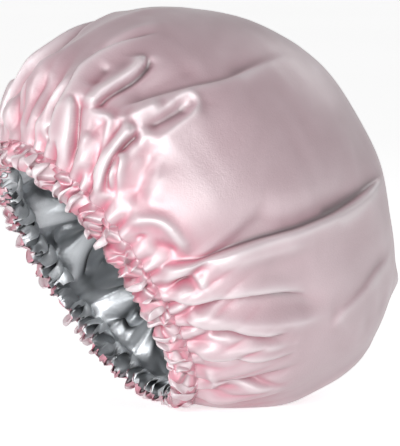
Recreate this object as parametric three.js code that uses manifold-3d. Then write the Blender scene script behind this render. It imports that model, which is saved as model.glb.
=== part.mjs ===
// Two-layer satin hair bonnet in its puffed, worn shape, lying on the soft underside of its crown.
// Millimetres, +Z up. The forehead faces -X, and the XZ plane is the middle of the bonnet.
// A point on the cloth is given by its turn round the opening (0 at the nape, a quarter turn at the
// +Y ear, half a turn at the forehead), its way along the cloth from the edge, and its lift outwards.
import * as THREE from 'three';
import { mergeVertices } from 'three/addons/utils/BufferGeometryUtils.js';
import Module from 'manifold-3d';

// The opening and the crown, in the opening's own plane
const OPENING_LONG_R = 89;       // forehead to nape, halved
const OPENING_SIDE_R = 79;       // ear to ear, halved
const OPENING_TILT = 32.5;       // degrees from upright: the mouth looks forwards and down
const CROWN_DEPTH = 211;         // opening plane to the top of the crown
const FRONT_BULGE_R = 135;       // widest reach of the puffed crown on each side ...
const SIDE_BULGE_R = 120;
const BACK_BULGE_R = 148;
const FRONT_BULGE_RISE = 88;     // ... and how deep behind the opening plane it lies
const SIDE_BULGE_RISE = 78;
const BACK_BULGE_RISE = 118;
const LEAVE_ANGLE = 42;          // degrees between the opening plane and the cloth at the edge
const CROWN_POWER = 1.81;        // superellipse power of the crown behind its widest reach
const HANDLE_SHARE = 0.45;       // share of the flare's chord that its curve handles take

// The cloth: each wall stands for one satin layer with the air in its crumples
const CLOTH = 1.2;
const LAYER_GAP = 0.5;           // between the outer satin and the lining
const BUTT_GAP = 0.3;            // where crown and casing meet at the stitched line

// What it lies on presses the underside flat
const REST_SINK = 5.4;           // how far the unpressed crown would reach below the ground
const SAG_REACH = 6;             // height over which the pressed cloth rounds into the ground
const REST_CUT = 0.5;            // last flat slice

// The gathered casing round the opening
const CASING_WIDTH = 17;         // stitched line to the folded edge
const GATHERS = 48;
const OUTER_PUFF = 5;            // height of the outer layer over the channel
const OUTER_CREST_AT = 6.5;      // where that puff is highest, from the edge
const OUTER_WAVE = 2.2;          // the gathers, up and down from the puff
const LINING_PUFF = 2.35;        // least depth of the lining under the channel
const LINING_CREST_AT = 7.5;
const LINING_WAVE = 2.1;
const EDGE_WAVE = 1.8;           // in and out sway of the folded edge
const EDGE_SCALLOP = 1.8;        // its scallops along the cloth
const EDGE_TUCK = 1;             // the plies run this far past the edge line
const GATHER_SWAY = 0.9;         // radians by which the gathers crowd and spread
const GATHER_GROUPS = 7;

// Ripples that run from the casing into the crown
const RIPPLES = 18;
const RIPPLE_HEIGHT = 4.5;
const RIPPLE_START = 14;         // way along the cloth in which a ripple grows
const RIPPLE_FADE = 46;          // way in which it dies away
const RIPPLE_SWAY = 0.8;
const RIPPLE_GROUPS = 3;

// The elastic: one flat band in the channel, with both ends turned out as a drawn loop
const TAPE_WIDTH = 5;
const TAPE_THICKNESS = 1.2;
const TAPE_DROP = 0.6;           // band's middle below the line of the cloth
const TAPE_AT = 7.5;             // band's middle from the edge
const PLY_GAP = 0.3;             // between the two ends where they lie together
const LOOP_TURN = 70;            // degrees round from the nape to the +Y side
const LOOP_LEAN = 14;            // degrees that the drawn loop leans back towards the crown
const CALM_ANGLE = 5;            // degrees each side of the slit where the casing lies smooth
const CALM_POWER = 4;            // how sharply that smooth part ends
const CALM_REACH = 20;           // way past the stitched line over which it ends in the crown
const SLIT_EASE = 0.35;          // room round the elastic in its slit
const SLIT_CUT = 3;              // the cut reaches this far to each side of the cloth
const TAIL_ROOT = 0.4;           // the ends run this far past the band's middle

// Sleeve that grips both ends, and the loop that is pulled
const KEEPER_LENGTH = 5;
const KEEPER_WALL = 0.75;
const KEEPER_EASE = 0.3;
const KEEPER_RADIUS = 1;
const KEEPER_STAND = 2.2;        // from the slit to the sleeve
const TAIL_END = 9.6;            // from the slit to where the ends pass into the loop
const LOOP_GAP = 0.3;
const LOOP_NECK = 2.6;           // straight part of the loop beyond the joint
const LOOP_FLARE = 6.4;          // in which the two legs part
const LOOP_RADIUS = 3.9;         // of the loop's round end, to the middle of the band

// Faces round and along each cloth body
const CROWN_SIDES = 69;
const POINTS_PER_GATHER = 3;
const CASING_SIDES = GATHERS * POINTS_PER_GATHER;
const BAND_SIDES = 90;
const RING_SHARES = [0, 0.05, 0.12, 0.2, 0.3, 0.42, 0.56, 0.72, 0.87];
const LOWEST_POINT_TRIES = 900;  // points of the back meridian among which the lowest is found
const CORNER_FACES = 4;          // at each rounded corner of the sleeve
const LOOP_FACES = 18;           // along each half of the loop

// Main folds of one side of the crown, each a ridge between two places in shares of the turn and of
// the way from the stitched line to the top. Size is a share of the height named below, below nought
// for a hollow, and side is where the ridge's own hollow lies: 1 towards the nape, -1 the forehead
const RIDGE_SHARES = [
  { from: [0.511, 0.02], to: [0.505, 0.24], size: 0.6, side: 1 },
  { from: [0.56, 0.03], to: [0.555, 0.38], size: 0.9, side: -1 },
  { from: [0.59, 0.04], to: [0.577, 0.32], size: 0.9, side: 1 },
  { from: [0.634, 0.02], to: [0.618, 0.19], size: 1.4, side: 1 },
  { from: [0.61, 0.19], to: [0.631, 0.42], size: 0.5, side: -1 },
  { from: [0.65, 0.14], to: [0.64, 0.3], size: 0.8, side: -1 },
  { from: [0.685, 0.04], to: [0.735, 0.11], size: 0.8, side: -1 },
  { from: [0.732, 0.03], to: [0.814, 0.6], size: 1.2, side: -1 },
  { from: [0.782, 0.04], to: [0.842, 0.29], size: 1.1, side: 1 },
  { from: [0.79, 0.12], to: [0.826, 0.27], size: -0.9, side: 0 },
  { from: [0.838, 0.02], to: [0.858, 0.24], size: 0.8, side: 1 },
  { from: [0.866, 0.32], to: [0.904, 0.62], size: 0.9, side: -1 },
  { from: [0.925, 0.52], to: [0.894, 0.38], size: -0.8, side: 0 },
  { from: [0.766, 0.66], to: [0.847, 0.55], size: 0.5, side: 0 },
];
// The folds nearest to the forehead and the nape, which have no fellow on the other side
const END_RIDGE_SHARES = [
  { from: [0.02, 0.02], to: [0.05, 0.34], size: 1, side: 0 },
  { from: [0.985, 0.02], to: [0.97, 0.3], size: 1, side: 0 },
  { from: [0.95, 0.02], to: [0.945, 0.42], size: 1, side: 0 },
  { from: [0.475, 0.02], to: [0.45, 0.3], size: 0.8, side: 0 },
];
const FELLOW_TURN = 7;           // degrees by which the other side's folds are turned on
const RIDGE_WIDTH = 10;
const RIDGE_HEIGHT = 7;
const RIDGE_LIMIT = 8;           // ridges that run together go no higher than this
const VALLEY_SHARE = 0.6;        // depth of the hollow beside each ridge, of the ridge's height
const CROWN_SINK = 1;            // the cloth between the ridges lies this far inside the full curve

// Slack of the lining, and its deep folds: turn at the stitched line, turn and way where they end
const LINING_SLACK = 9.5;
const LINING_FOLD_DEPTH = 20;
const LINING_FOLD_WIDTH = 15;
const LINING_FOLD_SHARES = [
  { from: [0.03, 0.02], to: [0.02, 0.42], size: 1 },
  { from: [0.1, 0.02], to: [0.16, 0.38], size: 0.85 },
  { from: [0.165, 0.02], to: [0.14, 0.26], size: 0.7 },
  { from: [0.23, 0.02], to: [0.2, 0.42], size: 1 },
  { from: [0.29, 0.02], to: [0.33, 0.34], size: 0.85 },
  { from: [0.36, 0.02], to: [0.37, 0.47], size: 1 },
  { from: [0.42, 0.02], to: [0.4, 0.27], size: 0.7 },
  { from: [0.475, 0.02], to: [0.49, 0.42], size: 0.95 },
  { from: [0.54, 0.02], to: [0.58, 0.36], size: 0.85 },
  { from: [0.6, 0.02], to: [0.57, 0.38], size: 0.95 },
  { from: [0.67, 0.02], to: [0.66, 0.42], size: 0.95 },
  { from: [0.73, 0.02], to: [0.77, 0.31], size: 0.7 },
  { from: [0.79, 0.02], to: [0.79, 0.42], size: 1 },
  { from: [0.86, 0.02], to: [0.9, 0.34], size: 0.85 },
  { from: [0.93, 0.02], to: [0.95, 0.42], size: 1 },
  { from: [0.21, 0.3], to: [0.3, 0.33], size: 0.75 },
  { from: [0.47, 0.31], to: [0.57, 0.34], size: 0.75 },
  { from: [0.72, 0.34], to: [0.82, 0.37], size: 0.75 },
  { from: [0.98, 0.34], to: [0.06, 0.32], size: 0.75 },
];

const { cos, exp, hypot, max, min, PI, round, sin, tanh } = Math;
const FULL_TURN = 2 * PI;
const radians = THREE.MathUtils.degToRad;
const tilt = radians(OPENING_TILT);
const leave = radians(LEAVE_ANGLE);
const lean = radians(LOOP_LEAN);
const loopTurn = radians(LOOP_TURN);

// Back half of a meridian: a quarter superellipse from the widest reach to the top
class CrownArc extends THREE.Curve {
  constructor(reach, rise) {
    super();
    this.reach = reach;
    this.rise = rise;
  }

  getPoint(t, target = new THREE.Vector2()) {
    const angle = t * PI / 2;
    const out = t < 1 ? cos(angle) ** (2 / CROWN_POWER) : 0;
    const along = sin(angle) ** (2 / CROWN_POWER);
    return target.set(this.reach * out, this.rise + (CROWN_DEPTH - this.rise) * along);
  }
}

// A size that goes smoothly from the nape over the ear to the forehead
function aroundBlend(turn, back, side, front) {
  const c = cos(turn);
  return side + ((c > 0 ? back : front) - side) * c * c;
}

function meridian(turn) {
  const edge = aroundBlend(turn, OPENING_LONG_R, OPENING_SIDE_R, OPENING_LONG_R);
  const reach = aroundBlend(turn, BACK_BULGE_R, SIDE_BULGE_R, FRONT_BULGE_R);
  const rise = aroundBlend(turn, BACK_BULGE_RISE, SIDE_BULGE_RISE, FRONT_BULGE_RISE);
  const handle = HANDLE_SHARE * hypot(reach - edge, rise);
  const path = new THREE.CurvePath();
  path.add(new THREE.CubicBezierCurve(
    new THREE.Vector2(edge, 0),
    new THREE.Vector2(edge + handle * cos(leave), handle * sin(leave)),
    new THREE.Vector2(reach, rise - handle),
    new THREE.Vector2(reach, rise),
  ));
  path.add(new CrownArc(reach, rise));
  path.start = new THREE.Vector2(edge, 0);
  return path;
}

// Axes of the opening in the part's frame: forehead to nape, ear to ear, into the crown
const toNape = new THREE.Vector3(sin(tilt), 0, -cos(tilt));
const toEar = new THREE.Vector3(0, 1, 0);
const inward = new THREE.Vector3(cos(tilt), 0, sin(tilt));

// The ground touches under the lowest point of the crown's middle line, where the origin lies
const lowest = meridian(0).getSpacedPoints(LOWEST_POINT_TRIES)
  .map((p) => toNape.clone().multiplyScalar(p.x).addScaledVector(inward, p.y))
  .reduce((a, b) => (b.z < a.z ? b : a));
const openingCentre = new THREE.Vector3(-lowest.x, 0, -lowest.z - REST_SINK);
const fromOpening = new THREE.Matrix4().makeBasis(toNape, toEar, inward).setPosition(openingCentre);

const meridians = new Map();
function meridianAt(turn) {
  const key = turn.toFixed(6);
  if (!meridians.has(key)) meridians.set(key, meridian(turn));
  return meridians.get(key);
}

// Point in the half plane of a turn: way along the cloth, and lift out of it
function onMeridian(turn, way, lift) {
  const path = meridianAt(turn);
  const length = path.getLength();
  if (way < 0) {
    const along = new THREE.Vector2(cos(leave), sin(leave));
    const out = new THREE.Vector2(along.y, -along.x);
    return path.start.clone().addScaledVector(along, way).addScaledVector(out, lift);
  }
  const share = min(way / length, 1);
  const tangent = share < 1 ? path.getTangent(share) : new THREE.Vector2(-1, 0);
  return path.getPoint(share).add(new THREE.Vector2(tangent.y, -tangent.x).multiplyScalar(lift));
}

function place(turn, way, lift) {
  const p = onMeridian(turn, way, lift);
  return new THREE.Vector3(p.x * cos(turn), p.x * sin(turn), p.y).applyMatrix4(fromOpening);
}

// Cloth that would go below its ground rounds into it and lies flat
function press(point, ground) {
  const above = point.z - ground + REST_CUT;
  if (above < SAG_REACH) {
    const soft = above > -SAG_REACH ? (above + SAG_REACH) ** 2 / (4 * SAG_REACH) : 0;
    point.z = ground + max(soft - REST_CUT, 0);
  }
  return point;
}

function turnBetween(a, b) {
  return a - b - FULL_TURN * round((a - b) / FULL_TURN);
}

// Nought beside the slit, where the elastic comes out, and one elsewhere
function calm(turn) {
  return 1 - exp(-((turnBetween(turn, loopTurn) / radians(CALM_ANGLE)) ** CALM_POWER));
}

function crownCalm(turn, way) {
  return 1 - (1 - calm(turn)) * exp(-(((way - CASING_WIDTH) / CALM_REACH) ** 2));
}

function gatherWave(turn, phase) {
  return cos(GATHERS * turn + phase + GATHER_SWAY * sin(GATHER_GROUPS * turn));
}

function ripple(turn, way) {
  const past = way - CASING_WIDTH;
  const size = RIPPLE_HEIGHT * (1 - exp(-past / RIPPLE_START)) * exp(-past / RIPPLE_FADE);
  return size * cos(RIPPLES * turn + RIPPLE_SWAY * sin(RIPPLE_GROUPS * turn)) * crownCalm(turn, way);
}

// How near a place lies to the line of a fold, from one on it to nought. A shift moves the line
// round the bonnet by that many fold widths
function nearness(fold, turn, way, length, radius, width, shift = 0) {
  const span = length - CASING_WIDTH;
  const dx = turnBetween(fold.to[0] * FULL_TURN, fold.from[0] * FULL_TURN) * radius;
  const dy = (fold.to[1] - fold.from[1]) * span;
  const px = turnBetween(turn, fold.from[0] * FULL_TURN) * radius - shift * width;
  const py = way - CASING_WIDTH - fold.from[1] * span;
  const t = min(max((px * dx + py * dy) / (dx * dx + dy * dy), 0), 1);
  return exp(-((hypot(px - t * dx, py - t * dy) / width) ** 2));
}

function mirrored([turnShare, wayShare]) {
  return [1 - turnShare + radians(FELLOW_TURN) / FULL_TURN, wayShare];
}

const crownRidges = [
  ...RIDGE_SHARES,
  ...RIDGE_SHARES.map((fold) => (
    { from: mirrored(fold.from), to: mirrored(fold.to), size: fold.size, side: -fold.side }
  )),
  ...END_RIDGE_SHARES,
];

function crownFold(turn, way, length) {
  const radius = onMeridian(turn, way, 0).x;
  const fade = 1 - exp(-(way - CASING_WIDTH) / RIPPLE_START);
  const heights = crownRidges.map((fold) => {
    const own = nearness(fold, turn, way, length, radius, RIDGE_WIDTH);
    const beside = fold.side ? nearness(fold, turn, way, length, radius, RIDGE_WIDTH, fold.side) : 0;
    return RIDGE_HEIGHT * fold.size * (own - VALLEY_SHARE * beside);
  });
  const height = RIDGE_LIMIT * tanh(heights.reduce((a, b) => a + b, 0) / RIDGE_LIMIT);
  return ripple(turn, way) + fade * crownCalm(turn, way) * (height - CROWN_SINK);
}

function liningFold(turn, way, length) {
  const radius = onMeridian(turn, way, 0).x;
  const fade = 1 - exp(-(way - CASING_WIDTH) / RIPPLE_START);
  const depths = LINING_FOLD_SHARES.map((fold) => (
    LINING_FOLD_DEPTH * fold.size * nearness(fold, turn, way, length, radius, LINING_FOLD_WIDTH)
  ));
  return fade * (LINING_SLACK + max(...depths));
}

// Joins rows of points into one closed body. Each row runs once round the bonnet; a row of one
// point is a pole. Where there are no poles, the last row joins the first. The second half of the
// rows is the back of the first half, and its quads are split the same way, so a wall stays even.
function bodyFromRows(rows) {
  const positions = [];
  const starts = rows.map((row) => {
    const start = positions.length / 3;
    row.forEach((p) => positions.push(p.x, p.y, p.z));
    return start;
  });
  const index = [];
  const closed = rows[0].length > 1;
  for (let j = 0; j < rows.length - (closed ? 0 : 1); j += 1) {
    const k = (j + 1) % rows.length;
    const count = max(rows[j].length, rows[k].length);
    for (let i = 0; i < count; i += 1) {
      const next = (i + 1) % count;
      const a = starts[j] + (rows[j].length > 1 ? i : 0);
      const b = starts[j] + (rows[j].length > 1 ? next : 0);
      const c = starts[k] + (rows[k].length > 1 ? i : 0);
      const d = starts[k] + (rows[k].length > 1 ? next : 0);
      const back = j >= rows.length / 2;
      if (a !== b) index.push(a, back ? d : c, b);
      if (c !== d) index.push(back ? a : b, c, d);
    }
  }
  const geometry = new THREE.BufferGeometry();
  geometry.setAttribute('position', new THREE.Float32BufferAttribute(positions, 3));
  geometry.setIndex(index);
  return geometry;
}

function rowAround(count, pointAt) {
  return Array.from({ length: count }, (_, i) => pointAt(FULL_TURN * i / count));
}

// Dome wall between an outer and an inner lift, open at the stitched line
function crownLayer(outerLift, innerLift, outerGround, innerGround) {
  const face = (lift, ground) => {
    const top = press(place(0, meridianAt(0).getLength(), lift(0, meridianAt(0).getLength())), ground);
    const rings = RING_SHARES.map((share) => rowAround(CROWN_SIDES, (turn) => {
      const length = meridianAt(turn).getLength();
      const start = CASING_WIDTH + BUTT_GAP / 2;
      const way = start + share * (length - start);
      return press(place(turn, way, lift(turn, way)), ground);
    }));
    return [...rings, [top]];
  };
  return bodyFromRows([...face(outerLift, outerGround).reverse(), ...face(innerLift, innerGround)]);
}

const foldAt = (turn, way) => crownFold(turn, way, meridianAt(turn).getLength());
const slackAt = (turn, way) => liningFold(turn, way, meridianAt(turn).getLength());
const liningLine = -CLOTH - LAYER_GAP;

function outerCrown() {
  return crownLayer(foldAt, (turn, way) => foldAt(turn, way) - CLOTH, 0, CLOTH);
}

function liningCrown() {
  const outer = (turn, way) => foldAt(turn, way) + liningLine - slackAt(turn, way);
  return crownLayer(outer, (turn, way) => outer(turn, way) - CLOTH, -liningLine, CLOTH - liningLine);
}

// One ply of the casing: from the stitched line over its puff to the folded edge and back inside
function casingPly(outerFace, innerFace, outerGround, innerGround) {
  const row = (face, ground, k) => rowAround(CASING_SIDES, (turn) => {
    const [way, lift] = face(turn)[k];
    return press(place(turn, way, lift), ground);
  });
  return bodyFromRows([
    row(outerFace, outerGround, 0), row(outerFace, outerGround, 1), row(outerFace, outerGround, 2),
    row(innerFace, innerGround, 2), row(innerFace, innerGround, 1), row(innerFace, innerGround, 0),
  ]);
}

function casingFace(level, crestAt, crestLift) {
  return (turn) => {
    const edgeWay = -EDGE_TUCK - EDGE_SCALLOP * gatherWave(turn, PI / 2);
    const edgeLift = level + EDGE_WAVE * gatherWave(turn, PI / 4) * calm(turn);
    return [[CASING_WIDTH - BUTT_GAP / 2, level], [crestAt, crestLift(turn)], [edgeWay, edgeLift]];
  };
}

function outerCasing() {
  const crest = (turn) => OUTER_PUFF + OUTER_WAVE * gatherWave(turn, 0) * calm(turn);
  const outer = casingFace(0, OUTER_CREST_AT, crest);
  const inner = casingFace(-CLOTH, OUTER_CREST_AT, (turn) => crest(turn) - CLOTH);
  return casingPly(outer, inner, 0, CLOTH);
}

function liningCasing() {
  const crest = (turn) => -LINING_PUFF - LINING_WAVE * (1 - gatherWave(turn, PI / 2)) / 2;
  const outer = casingFace(liningLine, LINING_CREST_AT, crest);
  const inner = casingFace(liningLine - CLOTH, LINING_CREST_AT, (turn) => crest(turn) - CLOTH);
  return casingPly(outer, inner, -liningLine, CLOTH - liningLine);
}

// The slit lies where a line from the band's middle, leaning back by the loop's lean, leaves the
// flank between the puff's crest and the stitched line
const flankSlope = OUTER_PUFF / (CASING_WIDTH - OUTER_CREST_AT);
const exitAngle = leave - lean;
const flankAtTape = flankSlope * (CASING_WIDTH - TAPE_AT);
const slitReach = (flankAtTape + TAPE_DROP) / (sin(exitAngle) + flankSlope * cos(exitAngle));
const slit = place(
  loopTurn,
  TAPE_AT + slitReach * cos(exitAngle),
  -TAPE_DROP + slitReach * sin(exitAngle),
);
const radial = new THREE.Vector3(cos(loopTurn), sin(loopTurn), 0);
const drawAxis = radial.clone().multiplyScalar(cos(lean)).add(new THREE.Vector3(0, 0, sin(lean)));
const acrossAxis = new THREE.Vector3(-sin(loopTurn), cos(loopTurn), 0);
const opening = new THREE.Matrix4().extractRotation(fromOpening);
drawAxis.applyMatrix4(opening);
acrossAxis.applyMatrix4(opening);
const stackAxis = new THREE.Vector3().crossVectors(drawAxis, acrossAxis);
const atSlit = new THREE.Matrix4().makeBasis(drawAxis, acrossAxis, stackAxis).setPosition(slit);
const plyMiddle = (PLY_GAP + TAPE_THICKNESS) / 2;
const stack = 2 * TAPE_THICKNESS + PLY_GAP;

const wasm = await Module();
wasm.setup();

function toSolid(geometry) {
  const bare = geometry.clone();
  ['normal', 'uv'].forEach((name) => bare.deleteAttribute(name));
  const merged = mergeVertices(bare);
  return new wasm.Manifold(new wasm.Mesh({
    numProp: 3,
    vertProperties: new Float32Array(merged.attributes.position.array),
    triVerts: new Uint32Array(merged.index.array),
  }));
}

function toGeometry(solid) {
  const mesh = solid.getMesh();
  const geometry = new THREE.BufferGeometry();
  geometry.setAttribute('position', new THREE.BufferAttribute(mesh.vertProperties, 3));
  geometry.setIndex(new THREE.BufferAttribute(mesh.triVerts, 1));
  return geometry;
}

// Box between two distances along the draw line, in the part's frame
function drawBox(from, to, wide, thick, stackedAt) {
  const box = new THREE.BoxGeometry(to - from, wide, thick);
  return box.translate((from + to) / 2, 0, stackedAt).applyMatrix4(atSlit);
}

function slitCasing() {
  const cut = drawBox(-SLIT_CUT, SLIT_CUT, TAPE_WIDTH + 2 * SLIT_EASE, stack + 2 * SLIT_EASE, 0);
  return toGeometry(toSolid(outerCasing()).subtract(toSolid(cut)));
}

// Band round the channel, with its two ends turned out through the slit
function casingElastic() {
  const corner = (side, face) => rowAround(BAND_SIDES, (turn) => (
    place(turn, TAPE_AT + side * TAPE_WIDTH / 2, -TAPE_DROP + face * TAPE_THICKNESS / 2)
  ));
  const band = toSolid(bodyFromRows([corner(1, 1), corner(-1, 1), corner(-1, -1), corner(1, -1)]));
  const ends = [-plyMiddle, plyMiddle].map((at) => (
    toSolid(drawBox(-slitReach - TAIL_ROOT, TAIL_END, TAPE_WIDTH, TAPE_THICKNESS, at))
  ));
  return toGeometry(ends.reduce((body, end) => body.add(end), band));
}

// Sleeve round both ends, rounded outside
function loopKeeper() {
  const wide = TAPE_WIDTH + 2 * KEEPER_EASE;
  const high = stack + 2 * KEEPER_EASE;
  const x = wide / 2 + KEEPER_WALL;
  const y = high / 2 + KEEPER_WALL;
  const section = new THREE.Shape();
  section.moveTo(x - KEEPER_RADIUS, -y);
  section.absarc(x - KEEPER_RADIUS, -y + KEEPER_RADIUS, KEEPER_RADIUS, -PI / 2, 0);
  section.absarc(x - KEEPER_RADIUS, y - KEEPER_RADIUS, KEEPER_RADIUS, 0, PI / 2);
  section.absarc(-x + KEEPER_RADIUS, y - KEEPER_RADIUS, KEEPER_RADIUS, PI / 2, PI);
  section.absarc(-x + KEEPER_RADIUS, -y + KEEPER_RADIUS, KEEPER_RADIUS, PI, 3 * PI / 2);
  const bore = new THREE.Path();
  bore.moveTo(-wide / 2, -high / 2);
  bore.lineTo(-wide / 2, high / 2);
  bore.lineTo(wide / 2, high / 2);
  bore.lineTo(wide / 2, -high / 2);
  bore.closePath();
  section.holes.push(bore);
  const sleeve = new THREE.ExtrudeGeometry(section, {
    depth: KEEPER_LENGTH,
    bevelEnabled: false,
    curveSegments: CORNER_FACES,
  });
  // Section x runs across the band and the length along the draw line
  const toDraw = new THREE.Matrix4().makeBasis(
    new THREE.Vector3(0, 1, 0),
    new THREE.Vector3(0, 0, 1),
    new THREE.Vector3(1, 0, 0),
  );
  return sleeve.applyMatrix4(toDraw);
}

// The bight of the band: two straight legs that part into a round loop
function pullLoop() {
  const start = TAIL_END + LOOP_GAP;
  const neckEnd = start + LOOP_NECK;
  const centre = neckEnd + LOOP_FLARE;
  const middle = new THREE.CurvePath();
  middle.add(new THREE.LineCurve(
    new THREE.Vector2(start, plyMiddle),
    new THREE.Vector2(neckEnd, plyMiddle),
  ));
  middle.add(new THREE.CubicBezierCurve(
    new THREE.Vector2(neckEnd, plyMiddle),
    new THREE.Vector2(neckEnd + LOOP_FLARE / 2, plyMiddle),
    new THREE.Vector2(centre - LOOP_FLARE / 2, LOOP_RADIUS),
    new THREE.Vector2(centre, LOOP_RADIUS),
  ));
  middle.add(new THREE.EllipseCurve(centre, 0, LOOP_RADIUS, LOOP_RADIUS, PI / 2, 0, true));
  const upper = middle.getSpacedPoints(LOOP_FACES);
  const lower = upper.slice(0, -1).reverse().map((p) => new THREE.Vector2(p.x, -p.y));
  const line = [...upper, ...lower];
  const side = (hand) => line.map((p, i) => {
    const before = line[max(i - 1, 0)];
    const after = line[min(i + 1, line.length - 1)];
    const along = after.clone().sub(before).normalize();
    return new THREE.Vector2(p.x - hand * along.y, p.y + hand * along.x);
  });
  const outline = [...side(TAPE_THICKNESS / 2), ...side(-TAPE_THICKNESS / 2).reverse()];
  const ribbon = new THREE.ExtrudeGeometry(new THREE.Shape(outline), {
    depth: TAPE_WIDTH,
    bevelEnabled: false,
  });
  // Outline x along the draw line, y in the stack, and the depth across the band
  return ribbon.translate(0, 0, -TAPE_WIDTH / 2).rotateX(PI / 2);
}

const material = (color, roughness) => new THREE.MeshStandardMaterial({ color, roughness, metalness: 0 });
const outerSatin = material(0xe4c6ce, 0.38);
const gatheredSatin = material(0xf0b8c4, 0.36);
const liningSatin = material(0x9a9fa4, 0.4);
const blackElastic = material(0x2b2b2c, 0.8);

function addPiece(group, name, geometry, finish) {
  const mesh = new THREE.Mesh(geometry, finish);
  mesh.name = name;
  group.add(mesh);
  return mesh;
}

const bonnet = new THREE.Group();
addPiece(bonnet, 'outer_crown', outerCrown(), outerSatin);
addPiece(bonnet, 'outer_casing', slitCasing(), gatheredSatin);
addPiece(bonnet, 'lining_crown', liningCrown(), liningSatin);
addPiece(bonnet, 'lining_casing', liningCasing(), liningSatin);
addPiece(bonnet, 'casing_elastic', casingElastic(), blackElastic);

const drawn = new THREE.Group();
drawn.position.copy(slit);
drawn.quaternion.setFromRotationMatrix(atSlit);
bonnet.add(drawn);
const keeper = addPiece(drawn, 'loop_keeper', loopKeeper(), blackElastic);
keeper.position.x = KEEPER_STAND;
addPiece(drawn, 'pull_loop', pullLoop(), blackElastic);

export default bonnet;
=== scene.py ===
"""Hair bonnet: puffed two-layer satin crown, gathered casing, and a drawn loop of ribbed elastic.

Metres, +Z up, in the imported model's frame. A place on the cloth is given by its turn round the
opening (0 at the nape, a quarter turn at the +Y ear), its way along the cloth from the folded edge,
and its lift outwards from the smooth crown.
"""
import math

import bmesh
import bpy
import numpy as np
from mathutils import Matrix, Vector
from mathutils.bvhtree import BVHTree


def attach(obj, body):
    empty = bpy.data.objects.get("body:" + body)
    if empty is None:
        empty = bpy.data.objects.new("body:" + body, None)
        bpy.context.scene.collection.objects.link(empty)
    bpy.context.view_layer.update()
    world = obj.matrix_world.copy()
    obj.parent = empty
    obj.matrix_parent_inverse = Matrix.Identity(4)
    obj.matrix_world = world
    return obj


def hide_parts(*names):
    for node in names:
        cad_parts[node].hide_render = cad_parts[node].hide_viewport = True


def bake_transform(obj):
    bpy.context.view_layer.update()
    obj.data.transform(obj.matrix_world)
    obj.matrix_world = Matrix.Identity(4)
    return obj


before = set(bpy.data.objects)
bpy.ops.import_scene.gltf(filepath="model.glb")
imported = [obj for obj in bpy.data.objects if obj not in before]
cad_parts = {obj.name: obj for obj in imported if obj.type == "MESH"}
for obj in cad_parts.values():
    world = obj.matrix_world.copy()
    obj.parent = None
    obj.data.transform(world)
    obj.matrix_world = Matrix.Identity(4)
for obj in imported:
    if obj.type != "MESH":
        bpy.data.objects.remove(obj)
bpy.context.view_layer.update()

# The crown and its opening, in the sizes of the CAD model
OPENING_LONG_R = 0.089
OPENING_SIDE_R = 0.079
OPENING_TILT = math.radians(32.5)
CROWN_DEPTH = 0.211
FRONT_BULGE_R, SIDE_BULGE_R, BACK_BULGE_R = 0.135, 0.120, 0.148
FRONT_BULGE_RISE, SIDE_BULGE_RISE, BACK_BULGE_RISE = 0.088, 0.078, 0.118
LEAVE_ANGLE = math.radians(42)
CROWN_POWER = 1.81
HANDLE_SHARE = 0.45
REST_SINK = 0.0054
SAG_REACH = 0.006
REST_CUT = 0.0005
CASING_WIDTH = 0.017

# The elastic and its drawn loop
TAPE_WIDTH = 0.005
TAPE_THICKNESS = 0.0012
TAPE_DROP = 0.0006
TAPE_AT = 0.0075
PLY_GAP = 0.0003
LOOP_TURN = math.radians(70)
LOOP_LEAN = math.radians(14)
OUTER_PUFF = 0.005
OUTER_CREST_AT = 0.0065
KEEPER_LENGTH = 0.005
KEEPER_STAND = 0.0022
TAIL_END = 0.0096
LOOP_GAP = 0.0003
LOOP_NECK = 0.0026
LOOP_FLARE = 0.0064
LOOP_RADIUS = 0.0039

# The cut cloth: a disc, of which the outermost ring is the casing
DISC_R = 0.300
CROWN_DISC_R = DISC_R - CASING_WIDTH
LAYER_STEP = 0.0028              # the lining's stitched line under the outer's

# The photograph's camera, fitted to the outline and the rim
PHOTO_W, PHOTO_H = 400, 446
CAMERA_TURN = math.radians(-24.33)
CAMERA_RISE = math.radians(5.98)
CAMERA_AWAY = 2.5
PIXEL = 0.000648
CAMERA_RIGHT, CAMERA_UP = -0.0272, 0.1134

FULL_TURN = 2 * math.pi


def smooth(x, low=0.0, high=1.0):
    t = np.clip((x - low) / (high - low), 0, 1)
    return t * t * (3 - 2 * t)


def unit(v):
    return v / np.maximum(np.linalg.norm(v, axis=-1, keepdims=True), 1e-12)


def polar(turn, radius, height):
    return np.stack([radius * np.cos(turn), radius * np.sin(turn), height], -1)


def bezier(corners, t):
    """Points of the cubic curve that four corners draw."""
    return ((1 - t) ** 3 * corners[0] + 3 * (1 - t) ** 2 * t * corners[1]
            + 3 * (1 - t) * t ** 2 * corners[2] + t ** 3 * corners[3])


def placed(name, data):
    """An object of the scene, at the origin."""
    obj = bpy.data.objects.new(name, data)
    bpy.context.collection.objects.link(obj)
    return obj


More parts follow.
